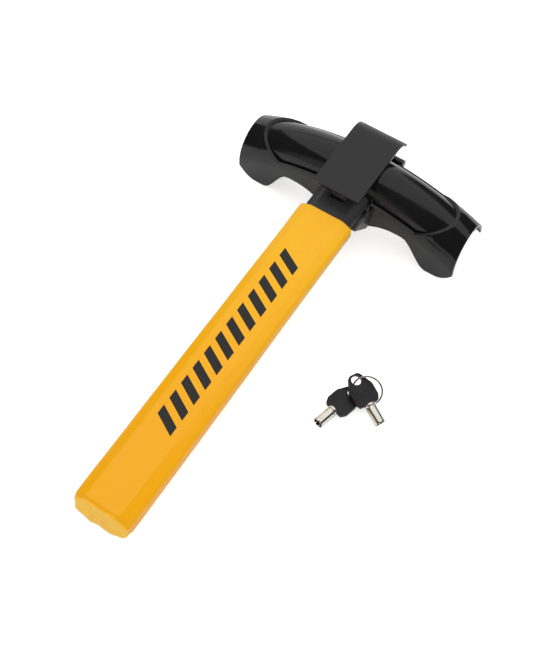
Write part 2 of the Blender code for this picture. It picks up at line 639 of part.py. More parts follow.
def build_strap(jaw_hinge, pivot):
    half = STRAP_WIDTH / 2
    centre = (STRAP_BEND_Y, STRAP_TOP_Z - STRAP_BEND_RADIUS)
    inside = STRAP_BEND_RADIUS - STRAP_THICKNESS
    ear = math.pi / 2 - STRAP_EAR_TURN
    outline = [(STRAP_NEAR_Y, STRAP_BOTTOM_Z), (STRAP_NEAR_Y, STRAP_TOP_Z)]
    outline += arc(centre, STRAP_BEND_RADIUS, math.pi / 2, ear, 10)
    outline += arc(centre, inside, ear, math.pi / 2, 10)
    strap = add_piece("strap_plate", prism(outline, -half, half, "X"), "black_paint", jaw_hinge, pivot)

    # Past its two ears only the middle of the strap goes on, round the bend and down to the knuckle
    middle = KNUCKLE_WIDTH / 2
    start = ear + STRAP_LEG_OVERLAP
    leg = arc(centre, STRAP_BEND_RADIUS - STRAP_LEG_EASE, start, 0.0, 4)
    leg += [(LEG_OUTER_Y - STRAP_LEG_EASE, HINGE_Z), (LEG_INNER_Y + STRAP_LEG_EASE, HINGE_Z)]
    leg += arc(centre, inside + STRAP_LEG_EASE, 0.0, start, 4)
    combine(strap, prism(leg, -middle, middle, "X"), "UNION", pivot)
    knuckle = prism(arc((HINGE_Y, HINGE_Z), KNUCKLE_RADIUS, 0, 2 * math.pi, 28)[:-1], -middle, middle, "X")
    combine(strap, knuckle, "UNION", pivot)
    hole = rod((-half, HINGE_Y, HINGE_Z), (half, HINGE_Y, HINGE_Z), HINGE_PIN_RADIUS + RUN, 20)
    combine(strap, hole, "DIFFERENCE", pivot)
    outward = Vector((0.0, math.sin(STRAP_HOLE_TURN), math.cos(STRAP_HOLE_TURN)))
    bend_middle = Vector((STRAP_HOLE_X, *centre))
    hole = rod(bend_middle + outward * (inside - 2), bend_middle + outward * (STRAP_BEND_RADIUS + 2),
               STRAP_HOLE_RADIUS, 16)
    combine(strap, hole, "DIFFERENCE", pivot)

    # The latch tongue is bent to an arc about the hinge, so that it enters its slot along itself
    top_turn = math.pi - math.asin((STRAP_BOTTOM_Z - SEAT - HINGE_Z) / TONGUE_OUTER)
    low_turn = math.pi - math.asin((TONGUE_BOTTOM_Z - HINGE_Z) / TONGUE_OUTER)
    axis = (HINGE_Y, HINGE_Z)
    outline = arc(axis, TONGUE_OUTER, top_turn, low_turn, 8)
    outline += arc(axis, TONGUE_INNER, low_turn, top_turn, 8)
    side = TONGUE_WIDTH / 2
    tongue = add_piece("latch_tongue", prism(outline, -side, side, "X"), "steel", jaw_hinge, pivot)
    gap = BOLT_TIP_WIDTH / 2 + SEAT
    window = box((-gap, HINGE_Y - TONGUE_OUTER - 4, BOLT_Z - SEAT),
                 (gap, HINGE_Y - TONGUE_INNER + 9, BOLT_TOP_Z + SEAT))
    combine(tongue, window, "DIFFERENCE", pivot)


def bow_outline():
    # Along the key from its ring tab to the face that the barrel leaves, zero at the ring hole
    start = -BOW_HOLE_INSET
    end = start + BOW_LENGTH
    tab = BOW_TAB_WIDTH / 2
    wide = BOW_WIDTH / 2
    face = BOW_END_WIDTH / 2
    half = [(start, tab - 2.0), (start + 1.5, tab), (start + 8.0, wide), (end - 5.0, wide), (end, face)]
    return rounded(half + [(u, -v) for u, v in reversed(half)], 2.5)


def build_key(number, carrier):
    bow = prism(bow_outline(), -BOW_THICKNESS / 2, BOW_THICKNESS / 2, "Z")
    bow = add_piece("key_%d_bow" % number, bow, "bow_plastic", carrier)
    face = BOW_LENGTH - BOW_HOLE_INSET
    combine(bow, rod((0, 0, -BOW_THICKNESS), (0, 0, BOW_THICKNESS), BOW_HOLE_RADIUS, 20))
    combine(bow, rod((face - SHANK_LENGTH - SEAT, 0, 0), (face + 2, 0, 0), SHANK_RADIUS + 0.2, 12))
    mouth = face + SEAT + BARREL_LENGTH
    barrel = rod((face + SEAT, 0, 0), (mouth, 0, 0), KEY_RADIUS, 28)
    barrel = add_piece("key_%d_barrel" % number, barrel, "nickel", carrier)
    combine(barrel, rod((face - SHANK_LENGTH, 0, 0), (face + 1, 0, 0), SHANK_RADIUS, 12), "UNION")
    combine(barrel, rod((mouth - BARREL_BORE_DEPTH, 0, 0), (mouth + 1, 0, 0), KEY_BORE_RADIUS, 24))


def build_keys(base):
    # The ring stands on the floor and holds both tabs up, and each barrel rests on its mouth
    stack = BOW_THICKNESS + KEY_STACK_GAP
    reach = BOW_LENGTH - BOW_HOLE_INSET + SEAT + BARREL_LENGTH
    first_z = RING_RADIUS * math.cos(RING_LEAN) + RING_WIRE_RADIUS + SEAT - stack / 2
    second_z = first_z + stack
    droops = [math.asin((z - KEY_RADIUS - SEAT) / reach) for z in (first_z, second_z)]
    keys_rest = make_carrier("keys_rest", base, (KEYS_X, KEYS_Y, 0.0))

    # The split ring passes up through both tabs, leaning over, and reaches out to one side of them
    out = Vector((math.cos(RING_HEADING), math.sin(RING_HEADING), 0.0))
    aside = Vector((-out.y, out.x, 0.0))
    up = aside * math.sin(RING_LEAN) + Vector((0.0, 0.0, math.cos(RING_LEAN)))
    turn = math.asin(stack / 2 / (RING_RADIUS * math.cos(RING_LEAN)))
    centre = Vector((0.0, 0.0, (first_z + second_z) / 2)) + out * RING_RADIUS
    for i, rise in enumerate((-1, 1)):
        hole = centre - RING_RADIUS * (out * math.cos(turn) - up * rise * math.sin(turn))
        place = make_carrier("key_%d_place" % (i + 1), keys_rest, hole, (0.0, droops[i], KEY_HEADINGS[i]))
        build_key(i + 1, place)
    add_piece("key_ring", wire_ring(centre, out, up), "nickel", keys_rest)


def wire_ring(centre, out, up):
    normal = out.cross(up)
    rings = []
    for turn in spread(0.0, 2 * math.pi, 40)[:-1]:
        radial = out * math.cos(turn) + up * math.sin(turn)
        middle = centre + radial * RING_RADIUS
        ring = []
        for spin in spread(0.0, 2 * math.pi, 8)[:-1]:
            ring.append(middle + (radial * math.cos(spin) + normal * math.sin(spin)) * RING_WIRE_RADIUS)
        rings.append(ring)
    return closed_loop(rings)


def closed_loop(rings):
    bm = bmesh.new()
    rows = [[bm.verts.new(p) for p in ring] for ring in rings]
    count = len(rows[0])
    for n, row in enumerate(rows):
        following = rows[(n + 1) % len(rows)]
        for i in range(count):
            k = (i + 1) % count
            bm.faces.new((row[i], row[k], following[k], following[i]))
    return bm


def solid_corners(carrier):
    # World points of every solid that a carrier holds
    bpy.context.view_layer.update()
    graph = bpy.context.evaluated_depsgraph_get()
    corners = []
    for obj in carrier.children_recursive:
        if obj.type == "MESH" and not obj.hide_render:
            solid = obj.evaluated_get(graph)
            corners += [solid.matrix_world @ v.co for v in solid.data.vertices]
    return corners


def set_on_floor(base, lock):
    # Rest the lock on the floor, then put world zero under the middle of the whole assembly's box
    lock.location.z = -min(c.z for c in solid_corners(lock))
    corners = solid_corners(base)
    for i in range(2):
        values = [c[i] for c in corners]
        base.location[i] = -(min(values) + max(values)) / 2
    bpy.context.view_layer.update()


def main():
    clear_scene()
    base = make_carrier("base", None, (0.0, 0.0, 0.0))
    lock = make_carrier("lock", base, (0.0, 0.0, 0.0), (TILT, 0.0, 0.0))
    jaw_hinge = make_carrier("jaw_hinge", lock, (0.0, HINGE_Y, HINGE_Z))
    plug_axis = make_carrier("plug_axis", lock, (0.0, CYLINDER_Y, 0.0))
    bolt_slide = make_carrier("bolt_slide", lock, (0.0, 0.0, 0.0))
    build_bar(lock)
    build_sleeve(lock)
    build_neck(lock)
    build_cylinder(lock, plug_axis, bolt_slide)
    build_lower_jaw(lock)
    build_upper_jaw(jaw_hinge)
    build_keys(base)
    set_on_floor(base, lock)
    print("lock frame in the world", [round(v, 6) for v in lock.matrix_world.translation], "tilt", TILT)
    print("hinge at", [round(v, 6) for v in jaw_hinge.matrix_world.translation])
    print("plug at", [round(v, 6) for v in plug_axis.matrix_world.translation])
    for name in ("keys_rest", "key_1_place", "key_2_place"):
        print(name, [round(v, 6) for v in bpy.data.objects[name].matrix_world.translation])


main()
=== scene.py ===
import json
import math

import bmesh
import bpy
import numpy as np
from mathutils import Matrix, Vector, noise


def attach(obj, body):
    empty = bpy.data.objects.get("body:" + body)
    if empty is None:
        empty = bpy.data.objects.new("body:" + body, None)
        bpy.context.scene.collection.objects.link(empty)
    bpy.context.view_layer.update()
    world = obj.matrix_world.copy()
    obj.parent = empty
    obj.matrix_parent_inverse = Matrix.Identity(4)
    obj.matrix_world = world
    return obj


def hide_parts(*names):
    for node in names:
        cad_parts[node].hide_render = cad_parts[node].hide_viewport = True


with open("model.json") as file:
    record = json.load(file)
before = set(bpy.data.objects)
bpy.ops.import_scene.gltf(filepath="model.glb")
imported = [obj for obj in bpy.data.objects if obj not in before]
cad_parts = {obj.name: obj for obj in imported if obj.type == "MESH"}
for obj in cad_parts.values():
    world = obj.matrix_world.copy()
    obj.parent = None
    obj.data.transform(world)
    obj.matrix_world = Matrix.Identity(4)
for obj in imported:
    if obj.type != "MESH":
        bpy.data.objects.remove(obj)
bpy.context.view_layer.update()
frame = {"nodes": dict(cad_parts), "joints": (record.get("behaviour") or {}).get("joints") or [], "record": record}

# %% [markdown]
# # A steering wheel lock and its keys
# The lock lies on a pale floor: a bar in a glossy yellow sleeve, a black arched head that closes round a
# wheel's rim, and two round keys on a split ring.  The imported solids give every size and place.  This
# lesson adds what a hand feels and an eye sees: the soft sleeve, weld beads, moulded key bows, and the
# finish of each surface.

nodes = frame["nodes"]
mounts = {mount["name"]: mount for mount in frame["record"]["mounts"]}

# %% [markdown]
# The lock leans a little, because it rests on the ends of its head and on the end of its sleeve.  It is
# easier to model it upright, in millimetres, with X along the head, the bar along -Y and zero in the
# middle of the rim channel, and to lean each finished piece afterwards.  Two mounts of the record say
# where that frame lies: the middle of the channel and the direction in which the strap's face looks.

# %% The lock's own frame
MM = 0.001
lock_origin = Vector(mounts["rim_channel"]["pos_m"])
strap_facing = Vector(mounts["strap_top"]["axis"])
lock_lean = math.atan2(-strap_facing.y, strap_facing.z)
lock_place = Matrix.Translation(lock_origin) @ Matrix.Rotation(lock_lean, 4, "X")
lock_place_mm = lock_place @ Matrix.Scale(MM, 4)


def node_points(node):
    """A node's corners, each once: its triangles are loose, so the mesh repeats them."""
    corners = np.array([vertex.co for vertex in nodes[node].data.vertices])
    return np.unique(corners.round(7), axis=0)


def lock_box(node):
    """Lowest and highest corners of a node in the lock's own frame, in millimetres."""
    back = lock_place_mm.inverted()
    points = np.array([back @ Vector(point) for point in node_points(node)])
    return Vector(points.min(0)), Vector(points.max(0))


print("the lock leans", round(math.degrees(lock_lean), 2), "degrees")

# %% [markdown]
# ## The camera
# The photograph looks down steeply and from the keys' side.  The camera's place is kept as the point it
# aims at, a distance and three angles, all in the lock's own frame, so it would follow the lock if it
# moved.

# %% Camera
AIM = Vector((17.1, -158.0, -8.2))
AIM_DISTANCE = 1040.0
AZIMUTH = math.radians(34.4)
ELEVATION = math.radians(60.5)
ROLL = math.radians(-1.3)
FOCAL_PIXELS = 1300.0
IMAGE_WIDTH = 550.0

backward = Vector((math.sin(AZIMUTH) * math.cos(ELEVATION),
                   -math.cos(AZIMUTH) * math.cos(ELEVATION),
                   math.sin(ELEVATION)))
level = Vector((math.cos(AZIMUTH), math.sin(AZIMUTH), 0.0))
upward = backward.cross(level)
sideways = level * math.cos(ROLL) + upward * math.sin(ROLL)
upward = backward.cross(sideways)
turned = Matrix((sideways, upward, backward)).transposed().to_4x4()
eye = (AIM + backward * AIM_DISTANCE) * MM

camera_data = bpy.data.cameras.new("camera")
camera_data.sensor_fit = "HORIZONTAL"
camera_data.lens = camera_data.sensor_width * FOCAL_PIXELS / IMAGE_WIDTH
camera_data.clip_start = 0.01
camera = bpy.data.objects.new("camera", camera_data)
bpy.context.scene.collection.objects.link(camera)
camera.matrix_world = lock_place @ Matrix.Translation(eye) @ turned
bpy.context.scene.camera = camera
print("lens", round(camera_data.lens, 2), "mm")

# %% [markdown]
# ## Light and floor
# Gloss black paint shows hardly any colour of its own: it shows the room.  One large soft panel hangs over
# the head and reaches far behind it, so that the flat strap and the crown of the tube mirror it evenly,
# and its straight edges draw the sharp wedges on the curved tube.  Behind the lock stands a white
# backdrop, the side where one looks from stays dark, and a small pale card lies low in front.

# %% Helpers for node trees
def add_math(tree, operation, first, second=None, third=None):
    node = tree.nodes.new("ShaderNodeMath")
    node.operation = operation
    for socket, value in zip(node.inputs, (first, second, third)):
        if isinstance(value, (int, float)):
            socket.default_value = value
        elif value is not None:
            tree.links.new(value, socket)
    return node.outputs["Value"]


def add_range(tree, value, low, high, to_low=0.0, to_high=1.0):
    """Map a value from one range to another, smoothly at both ends."""
    node = tree.nodes.new("ShaderNodeMapRange")
    node.interpolation_type = "SMOOTHSTEP"
    labels = ("From Min", "From Max", "To Min", "To Max")
    for label, number in zip(labels, (low, high, to_low, to_high)):
        node.inputs[label].default_value = number
    tree.links.new(value, node.inputs["Value"])
    return node.outputs["Result"]


def add_noise(tree, vector, scale, detail, roughness=0.5):
    """A noise texture whose place and scale come from other nodes."""
    texture = tree.nodes.new("ShaderNodeTexNoise")
    texture.inputs["Detail"].default_value = detail
    texture.inputs["Roughness"].default_value = roughness
    tree.links.new(vector, texture.inputs["Vector"])
    tree.links.new(scale, texture.inputs["Scale"])
    return texture.outputs["Fac"]


def axes_of(tree, vector):
    node = tree.nodes.new("ShaderNodeSeparateXYZ")
    tree.links.new(vector, node.inputs["Vector"])
    return node.outputs


print("node helpers ready")

# %% [markdown]
# How bright a lamp's mirror image is depends on its radiance, its power over its area and pi.  A radiance
# near 1 mirrors in black gloss as a quiet dark grey, so the panel is large and dim.

# %% Soft panel overhead
bpy.context.scene.view_settings.view_transform = "Standard"
PANEL_HEIGHT = 1.2
PANEL_SIDES = (-1.2, 1.56)
PANEL_DEPTHS = (-0.42, 2.4)
PANEL_RADIANCE = 0.92
room_right = level
room_back = Vector((-math.sin(AZIMUTH), math.cos(AZIMUTH), 0.0))
room_up = Vector((0.0, 0.0, 1.0))

panel_data = bpy.data.lights.new("soft_panel", "AREA")
panel_data.shape = "RECTANGLE"
panel_data.size = PANEL_SIDES[1] - PANEL_SIDES[0]
panel_data.size_y = PANEL_DEPTHS[1] - PANEL_DEPTHS[0]
panel_data.energy = PANEL_RADIANCE * math.pi * panel_data.size * panel_data.size_y
panel = bpy.data.objects.new("soft_panel", panel_data)
bpy.context.scene.collection.objects.link(panel)
panel_middle = room_right * sum(PANEL_SIDES) / 2
panel_middle += room_back * sum(PANEL_DEPTHS) / 2
panel_middle += room_up * PANEL_HEIGHT
panel_axes = Matrix((room_right, room_back, room_up)).transposed().to_4x4()
panel.matrix_world = lock_place @ Matrix.Translation(panel_middle) @ panel_axes
panel.visible_camera = False
print("panel", round(panel_data.size, 2), "by", round(panel_data.size_y, 2), "m,",
      round(panel_data.energy, 1), "W")

# %% [markdown]
# The world lights matt surfaces softly from all round, and a little more from the front, so that the
# sleeve's end and side are not dull.  Mirrors see the room instead: the backdrop low behind, the card low
# in front, and dark elsewhere.  The camera and clear materials see plain white.

# %% World
AMBIENT = (0.52, 0.57)
AMBIENT_RISE = (-0.2, 1.0)
FRONT_FILL = 0.72
FILL_RISE = (0.3, 0.95)
DARK_ROOM = 0.07
BACKDROP_RISE = (-0.15, 0.35)
BACKDROP_TOP = (0.39, 0.42)
BACKDROP_SIDE = (0.44, 0.52)
CARD_FACING = Vector((-0.33, -0.92, 0.22)).normalized()
CARD_RISE = (0.90, 0.985)
CARD_TONE = 0.55

world = bpy.data.worlds.new("room")
bpy.context.scene.world = world
world.use_nodes = True
tree = world.node_tree
tree.nodes.clear()
path = tree.nodes.new("ShaderNodeLightPath").outputs
looking = tree.nodes.new("ShaderNodeTexCoord").outputs["Generated"]


def toward(direction):
    """How far a ray looks along a direction of the lock's own frame."""
    node = tree.nodes.new("ShaderNodeVectorMath")
    node.operation = "DOT_PRODUCT"
    tree.links.new(looking, node.inputs[0])
    node.inputs[1].default_value = lock_place.to_3x3() @ direction
    return node.outputs["Value"]


low_down = add_range(tree, toward(room_up), *BACKDROP_TOP, 1.0 - DARK_ROOM, 0.0)
behind = add_range(tree, toward(room_back), *BACKDROP_RISE)
off_middle = add_math(tree, "ABSOLUTE", toward(room_right))
in_width = add_range(tree, off_middle, *BACKDROP_SIDE, 1.0, 0.0)
backdrop = add_math(tree, "MULTIPLY", add_math(tree, "MULTIPLY", behind, low_down), in_width)
card = add_range(tree, toward(CARD_FACING), *CARD_RISE, DARK_ROOM, CARD_TONE)
mirrored = add_math(tree, "ADD", backdrop, card)
for_mirrors = add_math(tree, "MULTIPLY", mirrored, path["Is Glossy Ray"])
ambient = add_range(tree, toward(room_up), *AMBIENT_RISE, *AMBIENT)
fill = add_range(tree, toward(-room_back), *FILL_RISE, 0.0, FRONT_FILL)
ambient = add_math(tree, "ADD", ambient, fill)
not_mirror = add_math(tree, "SUBTRACT", 1.0, path["Is Glossy Ray"])
for_matt = add_math(tree, "MULTIPLY", ambient, not_mirror)
seen_white = add_math(tree, "MAXIMUM", path["Is Camera Ray"], path["Is Transmission Ray"])
strength = add_math(tree, "MAXIMUM", add_math(tree, "ADD", for_mirrors, for_matt), seen_white)
background = tree.nodes.new("ShaderNodeBackground")
background.inputs["Color"].default_value = (1.0, 1.0, 1.0, 1.0)
tree.links.new(strength, background.inputs["Strength"])
world_output = tree.nodes.new("ShaderNodeOutputWorld")
tree.links.new(background.outputs["Background"], world_output.inputs["Surface"])
print("room lights matt surfaces by", AMBIENT, "and", FRONT_FILL, "in front")

# %% [markdown]
# The floor is near white.  It adds a little glow of its own, most for the camera and less for mirrors and
# clear materials, so that it reads as white to all of them and still keeps the shadows.

# %% Floor
FLOOR_SIZE = 8.0
FLOOR_GAP = 0.0002
FLOOR_GLOW = 0.60
MIRRORED_GLOW = 0.12
bpy.ops.object.select_all(action="DESELECT")
bpy.ops.mesh.primitive_plane_add(size=FLOOR_SIZE, location=(0.0, 0.0, -FLOOR_GAP))
floor = bpy.context.object
floor.name = "floor"

paper = bpy.data.materials.new("floor_paper")
paper.use_nodes = True
tree = paper.node_tree
shader = tree.nodes["Principled BSDF"]
shader.inputs["Base Color"].default_value = (0.86, 0.86, 0.855, 1.0)
shader.inputs["Roughness"].default_value = 0.9
shader.inputs["Specular IOR Level"].default_value = 0.1
path = tree.nodes.new("ShaderNodeLightPath").outputs
mirrored = add_math(tree, "MAXIMUM", path["Is Glossy Ray"], path["Is Transmission Ray"])
glow = add_math(tree, "MULTIPLY", mirrored, MIRRORED_GLOW)
glow = add_math(tree, "MULTIPLY_ADD", path["Is Camera Ray"], FLOOR_GLOW, glow)
shader.inputs["Emission Color"].default_value = (1.0, 1.0, 1.0, 1.0)
tree.links.new(glow, shader.inputs["Emission Strength"])
floor.data.materials.append(paper)
print("floor", FLOOR_SIZE, "m square")

# %% [markdown]
# ## Shared effects for the finishes
# Three effects come back on several finishes, so each is a node group with named sockets: the fine ripple
# of sprayed paint or dipped plastic, the faint marks that handling leaves, and the fine lines of a cutting
# or polishing tool.  A group gives out only values, and each material decides what they change.

# %% Node groups
FINE_SHARE = 0.35
SMEAR_RISE = (0.42, 0.72)
SPECK_RISE = (0.74, 0.80)
STREAK_RISE = (0.35, 0.65)


def new_group(name, inputs, outputs):
    group = bpy.data.node_groups.new(name, "ShaderNodeTree")
    group.interface.new_socket("Vector", in_out="INPUT", socket_type="NodeSocketVector")
    for label, value in inputs.items():
        socket = group.interface.new_socket(label, in_out="INPUT", socket_type="NodeSocketFloat")
        socket.default_value = value
    for label in outputs:
        group.interface.new_socket(label, in_out="OUTPUT", socket_type="NodeSocketFloat")
    given = group.nodes.new("NodeGroupInput").outputs
    gives = group.nodes.new("NodeGroupOutput").inputs
    return group, given, gives


ripple_group, given, gives = new_group("surface_ripple", {"Fine": 900.0, "Broad": 160.0},
                                       ["Height", "Mottle"])
fine = add_noise(ripple_group, given["Vector"], given["Fine"], 2.0)
broad = add_noise(ripple_group, given["Vector"], given["Broad"], 3.0)
mixed = add_math(ripple_group, "MULTIPLY_ADD", fine, FINE_SHARE, broad)
ripple_group.links.new(mixed, gives["Height"])
ripple_group.links.new(broad, gives["Mottle"])

handling_group, given, gives = new_group("handling_marks", {"Smear Scale": 38.0, "Speck Scale": 1500.0},
                                         ["Smear", "Specks"])
smear = add_noise(handling_group, given["Vector"], given["Smear Scale"], 6.0, 0.62)
handling_group.links.new(add_range(handling_group, smear, *SMEAR_RISE), gives["Smear"])
specks = add_noise(handling_group, given["Vector"], given["Speck Scale"], 1.0)
handling_group.links.new(add_range(handling_group, specks, *SPECK_RISE), gives["Specks"])

lines_group, given, gives = new_group("tool_lines", {"Lines": 2600.0, "Stretch": 0.02},
                                      ["Height", "Streaks"])
split = axes_of(lines_group, given["Vector"])
flattened = add_math(lines_group, "MULTIPLY", split["Z"], given["Stretch"])
spread_out = lines_group.nodes.new("ShaderNodeCombineXYZ")
for label, value in (("X", split["X"]), ("Y", split["Y"]), ("Z", flattened)):
    lines_group.links.new(value, spread_out.inputs[label])
streaks = add_noise(lines_group, spread_out.outputs["Vector"], given["Lines"], 2.0)
lines_group.links.new(streaks, gives["Height"])
lines_group.links.new(add_range(lines_group, streaks, *STREAK_RISE), gives["Streaks"])
print("groups", ripple_group.name, handling_group.name, lines_group.name)

# %% [markdown]
# Every piece sits at the origin with its place in its mesh, so object coordinates hold a pattern still on
# it.  For the lock a Mapping node undoes the lean, so that patterns run along the bar.

# %% Helpers for the finishes
class Finish:
    """A new material with its tree, its shader and a coordinate in the wanted frame."""

    def __init__(self, name, place=None):
        self.material = bpy.data.materials.new(name)
        self.material.use_nodes = True
        self.tree = self.material.node_tree
        self.shader = self.tree.nodes["Principled BSDF"]
        source = self.tree.nodes.new("ShaderNodeTexCoord")
        mapping = self.tree.nodes.new("ShaderNodeMapping")
        mapping.vector_type = "TEXTURE"
        if place is not None:
            mapping.inputs["Location"].default_value = place.to_translation()
            mapping.inputs["Rotation"].default_value = place.to_euler()
        self.tree.links.new(source.outputs["Object"], mapping.inputs["Vector"])
        self.vector = mapping.outputs["Vector"]

    def plain(self, **values):
        """Numbers that are the same all over go straight on the shader's sockets."""
        for label, value in values.items():
            self.shader.inputs[label.replace("_", " ")].default_value = value

    def use(self, group, **values):
        node = self.tree.nodes.new("ShaderNodeGroup")
        node.node_tree = group
        self.tree.links.new(self.vector, node.inputs["Vector"])
        for label, value in values.items():
            node.inputs[label.replace("_", " ")].default_value = value
        return node.outputs

    def blend(self, factor, first, second):
        """Mix two colours, each a colour or an output, by a mask."""
        node = self.tree.nodes.new("ShaderNodeMix")
        node.data_type = "RGBA"
        self.tree.links.new(factor, node.inputs["Factor"])
        for socket, value in ((node.inputs[6], first), (node.inputs[7], second)):
            if isinstance(value, tuple):
                socket.default_value = (*value, 1.0)
            else:
                self.tree.links.new(value, socket)
        return node.outputs[2]

    def link(self, output, label):
        self.tree.links.new(output, self.shader.inputs[label])

    def handled(self, scale, roughness, duller):
        """Set a roughness that is duller where hands left smears; returns all the marks."""
        marks = self.use(handling_group, Smear_Scale=scale)
        smeared = add_range(self.tree, marks["Smear"], 0.0, 1.0, roughness, roughness + duller)
        self.link(smeared, "Roughness")
        return marks

    def bump(self, height, depth):
        node = self.tree.nodes.new("ShaderNodeBump")
        node.inputs["Distance"].default_value = depth
        self.tree.links.new(height, node.inputs["Height"])
        self.tree.links.new(node.outputs["Normal"], self.shader.inputs["Normal"])


print("finish helpers ready")

# %% [markdown]
# ## Gloss black paint
# The head is steel under a thick gloss coat, with a slow ripple, a few specks of dust under it, and duller
# smears where it was handled.  It is almost black, so the ripple and the change of roughness matter more
# than the colour.  The strap has a flatter, drier coat, and the neck a thin dull one that is greyer.

# %% Black paint
PAINT_DARK = (0.70, 0.70, 0.75)
PAINT_LIGHT = (1.30, 1.30, 1.35)
PAINT_SPECK = (3.0, 3.0, 3.0)
PAINT_SMEAR = 0.13


def toned(tone, shares):
    return tuple(tone * share for share in shares)


def black_paint(name, tone, ior, roughness, ripple_depth):
    finish = Finish(name, lock_place)
    ripple = finish.use(ripple_group, Fine=700.0, Broad=95.0)
    marks = finish.handled(26.0, roughness, PAINT_SMEAR)
    finish.plain(IOR=ior)
    colour = finish.blend(ripple["Mottle"], toned(tone, PAINT_DARK), toned(tone, PAINT_LIGHT))
    colour = finish.blend(marks["Specks"], colour, toned(tone, PAINT_SPECK))
    finish.link(colour, "Base Color")
    finish.bump(ripple["Height"], ripple_depth)
    return finish.material


head_paint = black_paint("head_gloss_paint", tone=0.0065, ior=1.43, roughness=0.09, ripple_depth=0.00008)
strap_paint = black_paint("strap_satin_paint", tone=0.0065, ior=1.47, roughness=0.27, ripple_depth=0.00001)
neck_paint = black_paint("neck_dull_paint", tone=0.026, ior=1.47, roughness=0.42, ripple_depth=0.00010)
print("paints", head_paint.name, strap_paint.name, neck_paint.name)

# %% [markdown]
# ## Bare metals, rubber and moulded plastic
# Hidden pieces get an honest finish as well, because the jaw opens and the lock can be turned over.
# Plated barrels and the ring are bright nickel with fine polishing lines, the plug is turned brass, and
# the bolt, tongue, pins and cam are plain ground steel.

# %% Metals
METAL_SMEAR = 0.14
LINE_DEPTH = 0.00002


def metal(name, colour, darker, roughness, lines, place=None):
    finish = Finish(name, place)
    streaks = finish.use(lines_group, Lines=lines)
    finish.handled(60.0, roughness, METAL_SMEAR)
    finish.plain(Metallic=1.0)
    finish.link(finish.blend(streaks["Streaks"], darker, colour), "Base Color")
    finish.bump(streaks["Height"], LINE_DEPTH)
    return finish.material


steel = metal("ground_steel", (0.56, 0.56, 0.57), (0.44, 0.44, 0.45), 0.30, 2600.0, lock_place)
nickel = metal("bright_nickel", (0.83, 0.81, 0.74), (0.74, 0.71, 0.63), 0.10, 1800.0)
brass = metal("turned_brass", (0.80, 0.60, 0.29), (0.66, 0.47, 0.20), 0.26, 3200.0, lock_place)
# Painted shade: a very dark metal for the inside of the key's bore, partly dull unpolished metal.
bore_shade_metal = metal("dull_bore_metal", (0.05, 0.048, 0.044), (0.025, 0.024, 0.022), 0.55, 900.0)
weld_metal = metal("weld_bead_metal", (0.36, 0.36, 0.365), (0.20, 0.20, 0.204), 0.38, 1300.0, lock_place)
print("metals", steel.name, nickel.name, brass.name, bore_shade_metal.name, weld_metal.name)

# %% [markdown]
# Rubber and the bows' plastic come out of moulds, whose walls leave a fine grain, so one function makes
# both.

# %% Rubber and bow plastic
MOULDED_SMEAR = 0.12
BROAD_PER_FINE = 6


def moulded(name, colour, lighter, roughness, grain_scale, grain_depth):
    finish = Finish(name)
    grain = finish.use(ripple_group, Fine=grain_scale, Broad=grain_scale / BROAD_PER_FINE)
    finish.handled(90.0, roughness, MOULDED_SMEAR)
    finish.plain(IOR=1.42)
    finish.link(finish.blend(grain["Mottle"], colour, lighter), "Base Color")
    finish.bump(grain["Height"], grain_depth)
    return finish.material


rubber = moulded("jaw_rubber", (0.011, 0.011, 0.011), (0.022, 0.022, 0.022), 0.66, 1600.0, 0.00012)
bow_plastic = moulded("bow_plastic", (0.005, 0.005, 0.0053), (0.009, 0.009, 0.0094), 0.40, 2400.0,
                      0.00003)
print("moulded", rubber.name, bow_plastic.name)

# %% [markdown]
# ## The solids that stay
# The clamp's tube, its cover, the strap, the hinge and the works are right as they were packed.  Their
# edges are too sharp for painted steel, whose small radius always catches the light, and their facets
# would break up every reflection.  Four modifiers put that right and leave the meshes as they are: Weld
# joins the loose triangles, Bevel rounds only the true corners, a small node group shades all but the
# sharp edges smooth, and Weighted Normal keeps the broad flats flat.

# %% A modifier that shades smooth by angle
SHARP_ANGLE = math.radians(50.0)
smooth_group = bpy.data.node_groups.new("smooth_by_angle", "GeometryNodeTree")
smooth_group.is_modifier = True
for direction in ("INPUT", "OUTPUT"):
    smooth_group.interface.new_socket("Geometry", in_out=direction, socket_type="NodeSocketGeometry")
entry = smooth_group.nodes.new("NodeGroupInput")
leave = smooth_group.nodes.new("NodeGroupOutput")
edge_angle = smooth_group.nodes.new("GeometryNodeInputMeshEdgeAngle")
is_sharp = smooth_group.nodes.new("FunctionNodeCompare")
is_sharp.operation = "GREATER_THAN"
is_sharp.inputs["B"].default_value = SHARP_ANGLE
all_smooth = smooth_group.nodes.new("GeometryNodeSetShadeSmooth")
all_smooth.inputs["Shade Smooth"].default_value = True
edges_sharp = smooth_group.nodes.new("GeometryNodeSetShadeSmooth")
edges_sharp.domain = "EDGE"
edges_sharp.inputs["Shade Smooth"].default_value = False
smooth_group.links.new(entry.outputs["Geometry"], all_smooth.inputs["Geometry"])
smooth_group.links.new(all_smooth.outputs["Geometry"], edges_sharp.inputs["Geometry"])
smooth_group.links.new(edge_angle.outputs["Unsigned Angle"], is_sharp.inputs["A"])
smooth_group.links.new(is_sharp.outputs["Result"], edges_sharp.inputs["Selection"])
smooth_group.links.new(edges_sharp.outputs["Geometry"], leave.inputs["Geometry"])
print("edges over", round(math.degrees(SHARP_ANGLE)), "degrees stay sharp")

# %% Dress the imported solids
EDGE_ANGLE = math.radians(28.0)
JOIN_DISTANCE = 0.000002
